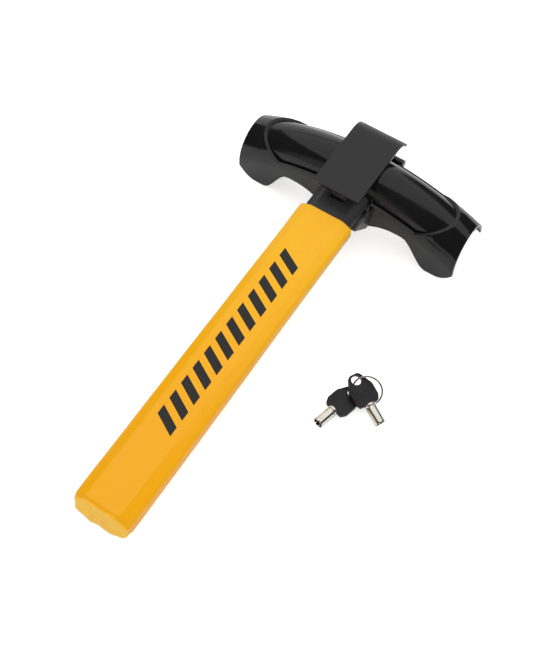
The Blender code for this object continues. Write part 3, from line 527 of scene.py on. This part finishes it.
# For each finish: the solids that wear it and the radius of their edges in millimetres.
dressing = {
    head_paint: (["jaw_cover", "upper_shell", "lower_jaw", "hinge_lug_left", "hinge_lug_right"], 0.5),
    strap_paint: (["strap_plate"], 0.6),
    neck_paint: (["lock_housing", "gusset_left", "gusset_right"], 0.6),
    rubber: (["lower_jaw_pad", "upper_jaw_pad", "bar_end_plug"], 0.3),
    steel: (["bar_tube", "hinge_pin", "cylinder_roll_pin", "latch_tongue", "cam", "bolt"]
            + ["tumbler_pin_%d" % n for n in range(1, 8)], 0.12),
    nickel: (["cylinder_body"], 0.25),
    brass: (["cylinder_plug"], 0.12),
}


def dress(node, material, radius):
    solid = nodes[node]
    solid.data.materials.clear()
    solid.data.materials.append(material)
    weld = solid.modifiers.new("join_triangles", "WELD")
    weld.merge_threshold = JOIN_DISTANCE
    soft = solid.modifiers.new("soft_edges", "BEVEL")
    soft.limit_method = "ANGLE"
    soft.angle_limit = EDGE_ANGLE
    soft.width = radius * MM
    soft.segments = 2
    solid.modifiers.new("smooth", "NODES").node_group = smooth_group
    flats = solid.modifiers.new("flat_faces", "WEIGHTED_NORMAL")
    flats.keep_sharp = True


for material, (names, radius) in dressing.items():
    for node in names:
        dress(node, material, radius)
print("dressed", sum(len(names) for names, radius in dressing.values()), "solids")

# %% [markdown]
# ## Working in edit mode
# The new pieces are modelled as by hand, so a few moves come back again and again: enter edit mode, pick
# faces, edges or points by a rule, extrude, resize and cut.

# %% Edit-mode helpers
HAIR = 0.5
FACING = 0.9


def only(obj):
    """Select one object and nothing else, and make it the active one."""
    bpy.ops.object.select_all(action="DESELECT")
    obj.select_set(True)
    bpy.context.view_layer.objects.active = obj


def begin(obj):
    only(obj)
    bpy.ops.object.mode_set(mode="EDIT")


def end_edit():
    bpy.ops.object.mode_set(mode="OBJECT")
    return bpy.context.object


def pick(kind, test):
    """Select faces, edges or points that pass a test, and nothing else; returns how many."""
    bpy.ops.mesh.select_mode(type={"faces": "FACE", "edges": "EDGE", "verts": "VERT"}[kind])
    bpy.ops.mesh.select_all(action="DESELECT")
    shape = bmesh.from_edit_mesh(bpy.context.object.data)
    shape.normal_update()
    chosen = [part for part in getattr(shape, kind) if test(part)]
    for part in chosen:
        part.select_set(True)
    shape.select_flush_mode()
    bmesh.update_edit_mesh(bpy.context.object.data)
    return len(chosen)


def pick_end(direction, reach):
    """Pick the faces that look along a direction at the end of a piece's reach."""
    facing = Vector(direction)
    pick("faces", lambda face: face.normal.dot(facing) > FACING
         and face.calc_center_median().dot(facing) > reach - HAIR)


def extrude(move):
    bpy.ops.mesh.extrude_region_move(TRANSFORM_OT_translate={"value": move})


def resize(value, centre):
    bpy.ops.transform.resize(value=value, center_override=centre)


def slice_all(point, normal, **options):
    """Cut the whole mesh along a plane."""
    bpy.ops.mesh.select_all(action="SELECT")
    bpy.ops.mesh.bisect(plane_co=point, plane_no=normal, **options)


print("edit helpers ready")

# %% [markdown]
# Some moves in object mode come back too, and so do the last steps of every piece: its place, its finish
# and the body it rides on.

# %% Object-mode helpers
CORNER_ANGLE = math.radians(40.0)


def apply_place():
    """Take the selected object's place, turn and size into its mesh."""
    bpy.ops.object.transform_apply(location=True, rotation=True, scale=True)


def add_box(low, high):
    bpy.ops.object.select_all(action="DESELECT")
    bpy.ops.mesh.primitive_cube_add(size=1.0, location=(Vector(low) + Vector(high)) / 2)
    box = bpy.context.object
    box.scale = Vector(high) - Vector(low)
    apply_place()
    return box


def apply_modifier(obj, kind, **settings):
    modifier = obj.modifiers.new(kind.lower(), kind)
    for label, value in settings.items():
        setattr(modifier, label, value)
    only(obj)
    bpy.ops.object.modifier_apply(modifier=modifier.name)


def round_edges(obj, width):
    apply_modifier(obj, "BEVEL", width=width, segments=2, limit_method="ANGLE", angle_limit=CORNER_ANGLE)


def lay(obj, place):
    """Put a finished piece in its place and leave its object at the origin."""
    only(obj)
    apply_place()
    obj.data.transform(place)
    obj.data.update()


def finish_piece(obj, name, body, material, smooth_angle):
    obj.name = name
    obj.data.name = name
    obj.data.materials.clear()
    obj.data.materials.append(material)
    only(obj)
    bpy.ops.object.shade_smooth_by_angle(angle=math.radians(smooth_angle))
    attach(obj, body)
    print(name, len(obj.data.polygons), "faces on", body)


def smooth_step(value):
    value = min(1.0, max(0.0, value))
    return value * value * (3.0 - 2.0 * value)


print("object helpers ready")

# %% [markdown]
# ## The yellow sleeve
# The flat steel tube inside shows as eight clear flats, the sleeve is fuller towards its end, and its end
# is closed by a folded flap with a soft, uneven face.  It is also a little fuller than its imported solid,
# which stands for the plain wall.  A box is a good start.  Its long edges are bevelled into flats, cuts
# across it give rings that can be slid to the taper, the end is drawn in by extrusions, and a subdivision
# rounds the rest like soft plastic.

# %% Sleeve: a box with bevelled edges
SLEEVE_FULLER = 1.5
SLEEVE_NECK_HALF = 25.0
SLEEVE_NECK_THICKNESS = 20.4
SLEEVE_NECK_FLAT = 16.0
SLEEVE_NECK_CHAMFER = 5.2
SLEEVE_END_FLAT = 15.0
SLEEVE_END_CHAMFER = 6.5
SLEEVE_END_ROUND = 9.6
sleeve_low, sleeve_high = lock_box("grip_sleeve")
sleeve_end_half = sleeve_high.x + SLEEVE_FULLER
sleeve_end_thickness = sleeve_high.z - sleeve_low.z
sleeve_rest_y = sleeve_low.y + SLEEVE_END_ROUND
sleeve_length = sleeve_high.y - sleeve_rest_y


def runs_along(edge):
    return abs(edge.verts[0].co.y - edge.verts[1].co.y) > HAIR


sleeve = add_box((-sleeve_end_half, sleeve_rest_y, -sleeve_end_half),
                 (sleeve_end_half, sleeve_high.y, sleeve_end_half))
begin(sleeve)
pick("edges", runs_along)
bpy.ops.mesh.bevel(offset=sleeve_end_half - SLEEVE_END_FLAT, segments=1)
print("sleeve is", round(sleeve_length, 1), "mm to its rounded end")

# %% [markdown]
# Cuts across the box give rings, closer together at both ends, where the form changes fast.  Then each of
# a ring's eight corners is slid to the width, thickness and flats that the sleeve has there.  A small
# round and a crease on the long edges keep the subdivision from pulling the flats in.

# %% Sleeve: rings and taper
RINGS = 15
NECK_CUTS = (1.6, 5.0)
END_CUT = 4.0
SLEEVE_EDGE_ROUND = 1.8
SLEEVE_EDGE_HOLD = 0.9
ring_places = [sleeve_high.y - sleeve_length * step / RINGS for step in range(1, RINGS)]
ring_places += [sleeve_high.y - depth for depth in NECK_CUTS]
ring_places.append(sleeve_rest_y + END_CUT)
for y in ring_places:
    slice_all((0.0, y, 0.0), (0.0, 1.0, 0.0))


def sleeve_sizes(y):
    """Half width, thickness, half width of the flat and height of the chamfer, at one place on the bar."""
    share = smooth_step((sleeve_high.y - y) / sleeve_length)
    ends = ((SLEEVE_NECK_HALF, sleeve_end_half), (SLEEVE_NECK_THICKNESS, sleeve_end_thickness),
            (SLEEVE_NECK_FLAT, SLEEVE_END_FLAT), (SLEEVE_NECK_CHAMFER, SLEEVE_END_CHAMFER))
    return [first + (last - first) * share for first, last in ends]


shape = bmesh.from_edit_mesh(sleeve.data)
for vertex in shape.verts:
    half, thickness, flat, chamfer = sleeve_sizes(vertex.co.y)
    on_flat = abs(vertex.co.z) > abs(vertex.co.x)
    x = flat if on_flat else half
    drop = 0.0 if on_flat else chamfer
    z = -drop if vertex.co.z > 0 else drop - thickness
    vertex.co = (math.copysign(x, vertex.co.x), vertex.co.y, sleeve_high.z + z)
bmesh.update_edit_mesh(sleeve.data)
pick("edges", runs_along)
bpy.ops.mesh.bevel(offset=SLEEVE_EDGE_ROUND, segments=3, profile=0.5)
creased = pick("edges", runs_along)
bpy.ops.transform.edge_crease(value=SLEEVE_EDGE_HOLD)
print("sleeve has", creased, "long edges that hold its flats")

# %% [markdown]
# The end is closed by a flap.  Extruding the end face with a small step in and out again leaves the crease
# that runs round the flap, and further extrusions draw the end in.  At the neck the face is inset by the
# wall, narrowed to the steel tube and pushed down the bar, which leaves a bore for the tube.

# %% Sleeve: flap and bore
SLEEVE_WALL = 1.6
TUBE_CLEARANCE = 0.4
BORE_END_GAP = 1.2
BORE_LIP = 2.0
BORE_END_STEPS = (1.6, 0.4)
# Each step of the flap: how far it goes out, and what it leaves of the width and of the thickness.
FLAP_STEPS = ((1.0, 1.0, 0.985), (0.5, 0.995, 0.94), (0.8, 1.0, 1.03), (4.2, 0.985, 0.985),
              (2.2, 0.95, 0.955), (1.1, 0.89, 0.88), (0.5, 0.75, 0.72), (0.1, 0.5, 0.45))
end_middle = Vector((0.0, sleeve_rest_y, sleeve_high.z - sleeve_end_thickness / 2))
pick_end((0.0, -1.0, 0.0), -sleeve_rest_y)
for advance, narrow, thin in FLAP_STEPS:
    extrude((0.0, -advance, 0.0))
    resize((narrow, 1.0, thin), end_middle)

pick_end((0.0, 1.0, 0.0), sleeve_high.y)
bpy.ops.mesh.inset(thickness=SLEEVE_WALL)
bore_half = lock_box("bar_tube")[1].x + TUBE_CLEARANCE
resize((bore_half / (SLEEVE_NECK_HALF - SLEEVE_WALL), 1.0, 1.0), (0.0, sleeve_high.y, 0.0))
bore_end = lock_box("bar_end_plug")[0].y - BORE_END_GAP
bore_run = sleeve_high.y - bore_end - BORE_LIP - sum(BORE_END_STEPS)
for depth in (BORE_LIP, bore_run, *BORE_END_STEPS):
    extrude((0.0, -depth, 0.0))
bpy.ops.mesh.inset(thickness=2 * TUBE_CLEARANCE)
end_edit()
apply_modifier(sleeve, "SUBSURF", levels=2, render_levels=2)
print("sleeve", len(sleeve.data.polygons), "faces before it is crumpled")

# %% [markdown]
# Soft plastic is never quite flat.  The flap's face leans, with its foot further out than its top, so the
# points past the crease are held back the more, the higher they lie.  The whole sleeve gets a slow
# unevenness of a tenth of a millimetre or two, and the flap gets folds: the points are moved along their
# normals by a noise that grows towards the end.

# %% Sleeve: soft unevenness and folds
SLOW_UNEVEN = 0.16
SLOW_SIZE = (16.0, 30.0, 12.0)
SLOW_INWARD = 0.6
FOLD_DEPTH = 1.3
FOLD_SIZE = (7.5, 5.0, 8.0)
FOLD_SHARE = 0.75
FOLD_INWARD = 0.55
FINE_SIZE = 2.6
FOLDS_BEGIN = 1.0
FOLDS_GROW = 5.0
CREASE_LENGTH = 2.3
TOP_HELD_BACK = 0.62
BORE_MARGIN = 0.6
BORE_END_MARGIN = 1.0


def lean_end(point):
    past = sleeve_rest_y - CREASE_LENGTH - point.y
    if past < 0.0:
        return point
    height = (point.z - sleeve_high.z) / sleeve_end_thickness + 1.0
    return Vector((point.x, point.y + past * TOP_HELD_BACK * smooth_step(height), point.z))


def noise_at(point, size):
    return noise.noise(Vector([value / length for value, length in zip(point, size)]))


def crumple(point, normal):
    toward_end = smooth_step((sleeve_rest_y + FOLDS_BEGIN - point.y) / FOLDS_GROW)
    slow = noise_at(point, SLOW_SIZE) - SLOW_INWARD
    folds = FOLD_SHARE * noise_at(point, FOLD_SIZE) + (1.0 - FOLD_SHARE) * noise.noise(point / FINE_SIZE)
    depth = SLOW_UNEVEN * slow + toward_end * FOLD_DEPTH * (folds - FOLD_INWARD)
    return lean_end(point) + normal * depth


def in_bore(point):
    half, thickness, flat, chamfer = sleeve_sizes(point.y)
    top = sleeve_high.z
    depths = (half - abs(point.x), top - point.z, point.z - (top - thickness))
    return min(depths) > SLEEVE_WALL + BORE_MARGIN and point.y > bore_end - BORE_END_MARGIN


places = []
for vertex in sleeve.data.vertices:
    point = vertex.co.copy()
    places.append(point if in_bore(point) else crumple(point, vertex.normal.copy()))
for vertex, place in zip(sleeve.data.vertices, places):
    vertex.co = place
lay(sleeve, lock_place_mm)
print("sleeve lowest", round(min(vertex.co.z for vertex in sleeve.data.vertices) / MM, 2), "mm")

# %% [markdown]
# Its finish is a warm yellow.  A lighter yellow towards the neck is a painted sheen, where the flat top mirrors
# the panel, and a paler yellow on the folded flap is painted light on its end face.  Its slow mottle is faint,
# because dipped vinyl is even.

# %% Yellow vinyl: colour
VINYL_END = (0.915, 0.412, 0.001)
# Painted sheen: the yellow is lighter near the neck, in place of the panel's reflection on the flat top.
VINYL_NECK_PAINTED_SHEEN = (0.895, 0.458, 0.004)
VINYL_DEEP = (0.89, 0.395, 0.002)
# Painted light: the flap's end face is paler, in place of the light that falls on it.
VINYL_FLAP_PAINTED_LIGHT = (0.97, 0.545, 0.045)
NECK_SHEEN_RISE = (-0.30, -0.06)
MOTTLE_RISE = (0.3, 0.7)
MOTTLE_MOST = 0.3
FLAP_LIGHT_FROM = (sleeve_rest_y - CREASE_LENGTH) * MM
FLAP_LIGHT_FADE = 0.002

vinyl = Finish("yellow_vinyl_print", lock_place)
tree = vinyl.tree
ripple = vinyl.use(ripple_group, Fine=420.0, Broad=45.0)
marks = vinyl.use(handling_group, Smear_Scale=18.0)
across = axes_of(tree, vinyl.vector)
# Painted sheen: the mask makes the yellow lighter towards the neck.
neck_sheen_mask = add_range(tree, across["Y"], *NECK_SHEEN_RISE)
colour = vinyl.blend(neck_sheen_mask, VINYL_END, VINYL_NECK_PAINTED_SHEEN)
uneven = add_range(tree, ripple["Mottle"], *MOTTLE_RISE, 0.0, MOTTLE_MOST)
colour = vinyl.blend(uneven, colour, VINYL_DEEP)
# Painted light: past the crease the flap is given the paler yellow.
flap_light_mask = add_range(tree, across["Y"], FLAP_LIGHT_FROM - FLAP_LIGHT_FADE, FLAP_LIGHT_FROM, 1.0, 0.0)
colour = vinyl.blend(flap_light_mask, colour, VINYL_FLAP_PAINTED_LIGHT)
print("flap is paler past", round(FLAP_LIGHT_FROM / MM, 1), "mm")

# %% [markdown]
# Along its upper flat runs a printed band of slanted black bars, as on safety tape.  A row of like bars
# needs no drawing: the distance along the bar, slanted a little by the distance across it, is counted in
# pitches, and the fraction that is left says whether a point lies on a bar or between two.  The print is
# duller than the vinyl and stands a hair proud of it.

# %% Yellow vinyl: printed band and gloss
BAND_START = -0.107
BAND_HALF = 0.0098
BAND_LEVEL = 0.006
BAR_COUNT = 12
BAR_PITCH = 0.0153
BAR_SHARE = 0.56
BAR_SLANT = 0.55
SOFT_LINE = 0.00025
PRINT_BLACK = (0.016, 0.015, 0.014)
PRINT_DULLER = 0.16
PRINT_PROUD = 0.35
VINYL_ROUGHNESS = (0.20, 0.32)
VINYL_RIPPLE = 0.00018

along = add_math(tree, "MULTIPLY_ADD", across["X"], BAR_SLANT, across["Y"])
pitches = add_math(tree, "MULTIPLY_ADD", along, -1.0 / BAR_PITCH, BAND_START / BAR_PITCH)
phase = add_math(tree, "FRACT", pitches)
edge = SOFT_LINE / BAR_PITCH
off_middle = add_math(tree, "ABSOLUTE", across["X"])
masks = [add_range(tree, phase, 0.0, edge),
         add_range(tree, phase, BAR_SHARE, BAR_SHARE + edge, 1.0, 0.0),
         add_range(tree, off_middle, BAND_HALF - SOFT_LINE, BAND_HALF, 1.0, 0.0),
         add_math(tree, "GREATER_THAN", pitches, 0.0),
         add_math(tree, "LESS_THAN", pitches, float(BAR_COUNT)),
         add_math(tree, "GREATER_THAN", across["Z"], BAND_LEVEL)]
band = masks[0]
for mask in masks[1:]:
    band = add_math(tree, "MULTIPLY", band, mask)
vinyl.link(vinyl.blend(band, colour, PRINT_BLACK), "Base Color")
vinyl.plain(IOR=1.45, Specular_IOR_Level=0.36)
rough = add_range(tree, marks["Smear"], 0.0, 1.0, *VINYL_ROUGHNESS)
vinyl.link(add_math(tree, "MULTIPLY_ADD", band, PRINT_DULLER, rough), "Roughness")
raised = add_math(tree, "MULTIPLY_ADD", band, PRINT_PROUD, ripple["Height"])
vinyl.bump(raised, VINYL_RIPPLE)
finish_piece(sleeve, "grip_sleeve_soft", "bar", vinyl.material, 60.0)
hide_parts("grip_sleeve")

# %% [markdown]
# ## Weld beads
# The neck and its ribs are welded to the lower half of the clamp's tube.  A bead is a row of small frozen
# pools, each lapping the last, and it is built as one.  First come the seams: where neck and ribs meet the
# tube, points are laid a pool's step apart.

# %% Weld: the seams
PIPE_RADIUS = 22.0
POOL_STEP = 1.25
SEAM_TOP = -3.2
RIB_SEAM_END = 0.84
neck_low, neck_high = lock_box("lock_housing")
gusset_low, gusset_high = lock_box("gusset_right")


def pipe_front(z):
    """How far the clamp's tube reaches towards the bar at one height, near the middle of the head."""
    return -math.sqrt(PIPE_RADIUS ** 2 - z ** 2)


def seam_points(first, last):
    count = max(2, int((Vector(last) - Vector(first)).length / POOL_STEP))
    spots = []
    for step in range(count + 1):
        x, z = Vector(first).lerp(Vector(last), step / count)
        spots.append(Vector((x, pipe_front(z), z)))
    return spots


def weld_rows():
    side = neck_high.x
    low = neck_low.z
    rows = [seam_points((turn * side, SEAM_TOP), (turn * side, low)) for turn in (-1, 1)]
    rows.append(seam_points((-side, low), (side, low)))
    for turn in (-1, 1):
        for x in (gusset_low.x, gusset_high.x):
            rows.append(seam_points((turn * x, low), (turn * x, -RIB_SEAM_END * PIPE_RADIUS)))
    return rows


weld_spots = [spot for row in weld_rows() for spot in row]
print("seams take", len(weld_spots), "pools")

# %% [markdown]
# Beside each rib a thick web fills the corner between neck and tube and stands a little proud of the
# neck's side, and a short post of weld climbs that side.  A web is a box that cuts trim to its outline.

# %% Weld: pools, webs and posts
POOL_RADIUS = 1.5
POOL_TURN = 0.7
WEB_REACH = 24.0
WEB_OUTLINE = ((-20.4, -8.3), (-8.0, -20.8), (-15.0, -26.5), (-27.0, -28.5), (-35.5, -25.0), (-54.0, -8.6))
POST_DEPTHS = (-27.0, -21.0)
POST_TOP = -1.5
POST_FOOT = 1.0
POST_SINK = 0.2


def make_pool(centre, turn):
    """A flattened ball.  Waves of different lengths make each unlike its neighbours."""
    bpy.ops.mesh.primitive_uv_sphere_add(segments=12, ring_count=8, radius=POOL_RADIUS, location=centre)
    pool = bpy.context.object
    pool.scale = (1.0 + 0.12 * math.sin(turn * 2.3), 0.8, 0.9 + 0.1 * math.cos(turn * 1.7))
    pool.rotation_euler = (0.3 * math.sin(turn), 0.25 * math.cos(turn * 1.3), turn)
    apply_place()
    return pool


def make_post(turn):
    inner, outer = sorted((turn * (neck_high.x - POST_SINK), turn * WEB_REACH))
    return add_box((inner, POST_DEPTHS[0], neck_low.z - POST_FOOT), (outer, POST_DEPTHS[1], POST_TOP))


def make_web(turn):
    """A web beside one rib, trimmed along lines through the points (y, z) of its outline."""
    inner, outer = sorted((turn * gusset_high.x, turn * WEB_REACH))
    depths = [y for y, z in WEB_OUTLINE]
    heights = [z for y, z in WEB_OUTLINE]
    web = add_box((inner, min(depths), min(heights)), (outer, max(depths), max(heights)))
    begin(web)
    for (y1, z1), (y2, z2) in zip(WEB_OUTLINE, WEB_OUTLINE[1:]):
        slice_all((0.0, y1, z1), (0.0, z1 - z2, y2 - y1), use_fill=True, clear_outer=True)
    return end_edit()


pools = [make_pool(spot, POOL_TURN * count) for count, spot in enumerate(weld_spots)]
fillers = [make(turn) for make in (make_web, make_post) for turn in (-1, 1)]
print(len(pools), "pools and", len(fillers), "fillers")

# %% [markdown]
# Pools, webs and posts are joined, remeshed into one skin and smoothed, so they flow together as molten
# steel does.  All of it sits on the fixed half only and inside the cover's slot, so that the upper half
# can swing away from it.

# %% Weld: one skin
bpy.ops.object.select_all(action="DESELECT")
for piece in pools + fillers:
    piece.select_set(True)
bpy.context.view_layer.objects.active = pools[0]
bpy.ops.object.join()
weld = bpy.context.object
apply_modifier(weld, "REMESH", mode="VOXEL", voxel_size=0.38)
apply_modifier(weld, "SMOOTH", factor=0.5, iterations=3)
lay(weld, lock_place_mm)
finish_piece(weld, "weld_beads", "bar", weld_metal, 50.0)

# %% [markdown]
# ## The keys
# A round key is a bright tube with a small tooth on its side, moulded into a flat black bow with a tab for
# the ring.  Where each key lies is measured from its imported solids: the barrel's long direction, the bow's
# thin direction, and the mouth.  Both keys are then modelled once, in their own frame, with zero at the
# ring hole.

# %% Keys: where they lie
KEY_REACH = 39.1
MOUTH_BAND = 0.00001


def key_place(number):
    barrel = node_points("key_%d_barrel" % number)
    bow = node_points("key_%d_bow" % number)
    along = Vector(np.linalg.svd(barrel - barrel.mean(0))[2][0])
    if along.dot(Vector(barrel.mean(0) - bow.mean(0))) < 0:
        along = -along
    thin = Vector(np.linalg.svd(bow - bow.mean(0))[2][2])
    if thin.z < 0:
        thin = -thin
    distances = barrel @ np.array(along)
    mouth = Vector(barrel[distances > distances.max() - MOUTH_BAND].mean(0))
    thin = (thin - along * thin.dot(along)).normalized()
    axes = Matrix((along, thin.cross(along), thin)).transposed().to_4x4()
    hole = mouth - along * KEY_REACH * MM
    return Matrix.Translation(hole) @ axes @ Matrix.Scale(MM, 4)


key_places = [key_place(1), key_place(2)]
for place in key_places:
    print("key hole at", [round(value, 4) for value in place.to_translation()])

# %% [markdown]
# The bow starts as a flat ten-sided disc whose corners are moved to the outline: a narrow tab, sloping
# shoulders, straight sides and a foot that the barrel leaves.  Its corners are rounded, it is extruded to
# thickness, its edges are bevelled, and each broad face is inset and sunk a little, as on a moulded bow.

# %% Keys: bow
BOW_THICKNESS = 4.0
BOW_HALF = 10.5
BOW_MIDDLE = 8.0
BOW_END = 21.8
# Half of the outline, from the tab to the foot: places along the key and half widths there.
BOW_OUTLINE = [(-5.2, 3.5), (-3.2, 5.5), (7.3, BOW_HALF), (17.3, BOW_HALF), (BOW_END, 8.0)]
BOW_CORNER_ROUND = 0.9
BOW_EDGE_ROUND = 0.2
BOW_RIM = 0.7
BOW_SINK = 0.25
BROAD_FACE = 50.0
RING_HOLE = (4.1, 4.3)


def make_bow():
    outline = BOW_OUTLINE + [(u, -v) for u, v in reversed(BOW_OUTLINE)]
    bpy.ops.mesh.primitive_circle_add(vertices=len(outline), radius=BOW_HALF, fill_type="NGON")
    bow = bpy.context.object
    begin(bow)
    shape = bmesh.from_edit_mesh(bow.data)
    corners = sorted(shape.verts, key=lambda vertex: -math.atan2(vertex.co.y, vertex.co.x))
    targets = sorted(outline, key=lambda point: -math.atan2(point[1], point[0] - BOW_MIDDLE))
    for vertex, (u, v) in zip(corners, targets):
        vertex.co = (u, v, -BOW_THICKNESS / 2)
    bmesh.update_edit_mesh(bow.data)
    pick("verts", lambda vertex: True)
    bpy.ops.mesh.bevel(offset=BOW_CORNER_ROUND, segments=4, affect="VERTICES")
    pick("faces", lambda face: True)
    extrude((0.0, 0.0, BOW_THICKNESS))
    pick("edges", lambda edge: edge.is_boundary)
    bpy.ops.mesh.edge_face_add()
    bpy.ops.mesh.select_all(action="SELECT")
    bpy.ops.mesh.normals_make_consistent(inside=False)
    for side in (-1, 1):
        pick("faces", lambda face: face.normal.z * side > FACING and face.calc_area() > BROAD_FACE)
        bpy.ops.mesh.inset(thickness=BOW_RIM)
        extrude((0.0, 0.0, -BOW_SINK * side))
    end_edit()
    round_edges(bow, BOW_EDGE_ROUND)
    return bow


def cut(obj, tool, operation="DIFFERENCE"):
    apply_modifier(obj, "BOOLEAN", object=tool, operation=operation, solver="EXACT")
    bpy.data.objects.remove(tool)


def cut_ring_hole(bow):
    """The ring passes slantwise through the tab, so its hole is wide."""
    bpy.ops.mesh.primitive_cylinder_add(vertices=40, radius=1.0, depth=3 * BOW_THICKNESS)
    tool = bpy.context.object
    tool.scale = (*RING_HOLE, 1.0)
    apply_place()
    cut(bow, tool)


for number, place in enumerate(key_places, start=1):
    bow = make_bow()
    cut_ring_hole(bow)
    lay(bow, place)
    finish_piece(bow, "key_%d_bow_moulded" % number, "key_%d" % number, bow_plastic, 35.0)
    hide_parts("key_%d_bow" % number)

# %% [markdown]
# The barrel is a cylinder whose mouth is inset and pushed in to make the bore.  Its rims are rounded, a
# groove runs round it near the bow, and its mouth flares a little.

# %% Keys: barrel
BARREL_RADIUS = 4.5
BARREL_BORE = 3.8
BARREL_START = BOW_END - 0.4
BARREL_END = KEY_REACH
BARREL_EDGE_ROUND = 0.16
BORE_DEPTH = 9.0
GROOVE_CUTS = (1.8, 2.2, 2.8, 3.2)
GROOVE_FLOOR = (2.1, 2.9)
GROOVE_SHRINK = 0.92
FLARE_CUTS = (1.7, 1.1)
FLARE_LENGTH = 1.2
MOUTH_FLARE = 1.015


def add_rod(radius, length, middle, vertices):
    """A cylinder along the key's own X."""
    bpy.ops.mesh.primitive_cylinder_add(vertices=vertices, radius=radius, depth=length, location=middle,
                                        rotation=(0.0, math.pi / 2, 0.0))
    apply_place()
    return bpy.context.object


def make_barrel():
    length = BARREL_END - BARREL_START
    barrel = add_rod(BARREL_RADIUS, length, (BARREL_START + length / 2, 0.0, 0.0), 64)
    begin(barrel)
    cuts = [BARREL_START + depth for depth in GROOVE_CUTS] + [BARREL_END - depth for depth in FLARE_CUTS]
    for x in cuts:
        slice_all((x, 0.0, 0.0), (1.0, 0.0, 0.0))
    pick("verts", lambda vertex: vertex.co.x > BARREL_END - FLARE_LENGTH)
    resize((1.0, MOUTH_FLARE, MOUTH_FLARE), (BARREL_END, 0.0, 0.0))
    first, last = [BARREL_START + depth for depth in GROOVE_FLOOR]
    pick("verts", lambda vertex: first < vertex.co.x < last)
    resize((1.0, GROOVE_SHRINK, GROOVE_SHRINK), ((first + last) / 2, 0.0, 0.0))
    pick_end((1.0, 0.0, 0.0), BARREL_END)
    bpy.ops.mesh.inset(thickness=BARREL_RADIUS * MOUTH_FLARE - BARREL_BORE)
    extrude((-BORE_DEPTH, 0.0, 0.0))
    end_edit()
    round_edges(barrel, BARREL_EDGE_ROUND)
    return barrel


barrels = [make_barrel() for place in key_places]
print(len(barrels), "barrels of", len(barrels[0].data.polygons), "faces")

# %% [markdown]
# A small tooth on the barrel's side holds the key in the lock, and seven bites in its rim press the lock's
# pins, each as deep as its pin asks.  Booleans add the one and cut the others.  The bore's faces take a
# very dark, dull metal: partly unpolished metal, partly painted shade for the deep inside of the bore.

# %% Keys: tooth, bites and bore
TOOTH_SPAN = (4.2, 2.6)
TOOTH_HALF = 0.9
TOOTH_ROOT = 0.2
TOOTH_RISE = 0.35
BITE_COUNT = 7
BITE_RADIUS = 0.55
BITE_CIRCLE = 4.15
BITE_DEPTH = 2.0
BITE_STEP = 0.7
BITE_LEVELS = 3
BORE_SKIN = 0.02
BORE_FLOOR = 0.5
BRIGHT_LIP = 0.25


def add_tooth(barrel):
    first, last = [BARREL_END - depth for depth in TOOTH_SPAN]
    cut(barrel, add_box((first, -TOOTH_HALF, BARREL_BORE + TOOTH_ROOT),
                        (last, TOOTH_HALF, BARREL_RADIUS + TOOTH_RISE)), "UNION")


def cut_bites(barrel):
    for turn in range(BITE_COUNT):
        angle = 2 * math.pi * (turn + 0.5) / BITE_COUNT
        spot = (BARREL_END, BITE_CIRCLE * math.cos(angle), BITE_CIRCLE * math.sin(angle))
        depth = BITE_DEPTH + BITE_STEP * (turn % BITE_LEVELS)
        cut(barrel, add_rod(BITE_RADIUS, depth, spot, 16))


# Painted shade: the bore's faces get the dark metal, all but a bright lip at the mouth.
def darken_bore(barrel, place):
    barrel.data.materials.append(bore_shade_metal)
    back = place.inverted()
    for face in barrel.data.polygons:
        along, y, z = back @ face.center
        inside = math.hypot(y, z) < BARREL_BORE + BORE_SKIN
        face.material_index = int(inside and BORE_DEPTH + BORE_FLOOR > BARREL_END - along > BRIGHT_LIP)


for number, (barrel, place) in enumerate(zip(barrels, key_places), start=1):
    add_tooth(barrel)
    cut_bites(barrel)
    lay(barrel, place)
    finish_piece(barrel, "key_%d_barrel_plated" % number, "key_%d" % number, nickel, 30.0)
    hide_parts("key_%d_barrel" % number)
    darken_bore(barrel, place)

# %% [markdown]
# ## The split ring
# A split ring is one wire wound twice, so that each turn lies on the other.  A small circle is turned
# about the ring's axis by a Screw modifier that climbs one wire's thickness per turn, and its two cut ends
# are closed.  The ring's middle and its axis come from the joint that lets it turn.

# %% Split ring
RING_RADIUS = 12.0
RING_STEPS = 160
RING_GAP = 0.25
WIRE_HALF_WIDTH = 0.70
WIRE_HALF_HEIGHT = 0.30
COIL_CLIMB = 0.62
ring_joint = next(joint for joint in frame["joints"] if joint["name"] == "key_ring_spin")
ring_turned = Vector(ring_joint["axis"]).normalized().to_track_quat("Z", "Y").to_matrix().to_4x4()
ring_place = Matrix.Translation(Vector(ring_joint["pos_m"])) @ ring_turned @ Matrix.Scale(MM, 4)
bpy.ops.object.select_all(action="DESELECT")
bpy.ops.mesh.primitive_circle_add(vertices=16, radius=1.0, location=(RING_RADIUS, 0.0, -COIL_CLIMB),
                                  rotation=(math.pi / 2, 0.0, 0.0))
ring = bpy.context.object
ring.scale = (WIRE_HALF_WIDTH, WIRE_HALF_HEIGHT, 1.0)
apply_place()
apply_modifier(ring, "SCREW", angle=4 * math.pi - RING_GAP, screw_offset=2 * COIL_CLIMB, iterations=1,
               steps=RING_STEPS, render_steps=RING_STEPS, axis="Z", use_merge_vertices=False)
begin(ring)
pick("edges", lambda edge: edge.is_boundary)
bpy.ops.mesh.fill_holes(sides=0)
bpy.ops.mesh.select_all(action="SELECT")
bpy.ops.mesh.normals_make_consistent(inside=False)
end_edit()
lay(ring, ring_place)
finish_piece(ring, "key_ring_split", "key_ring", nickel, 60.0)
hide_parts("key_ring")
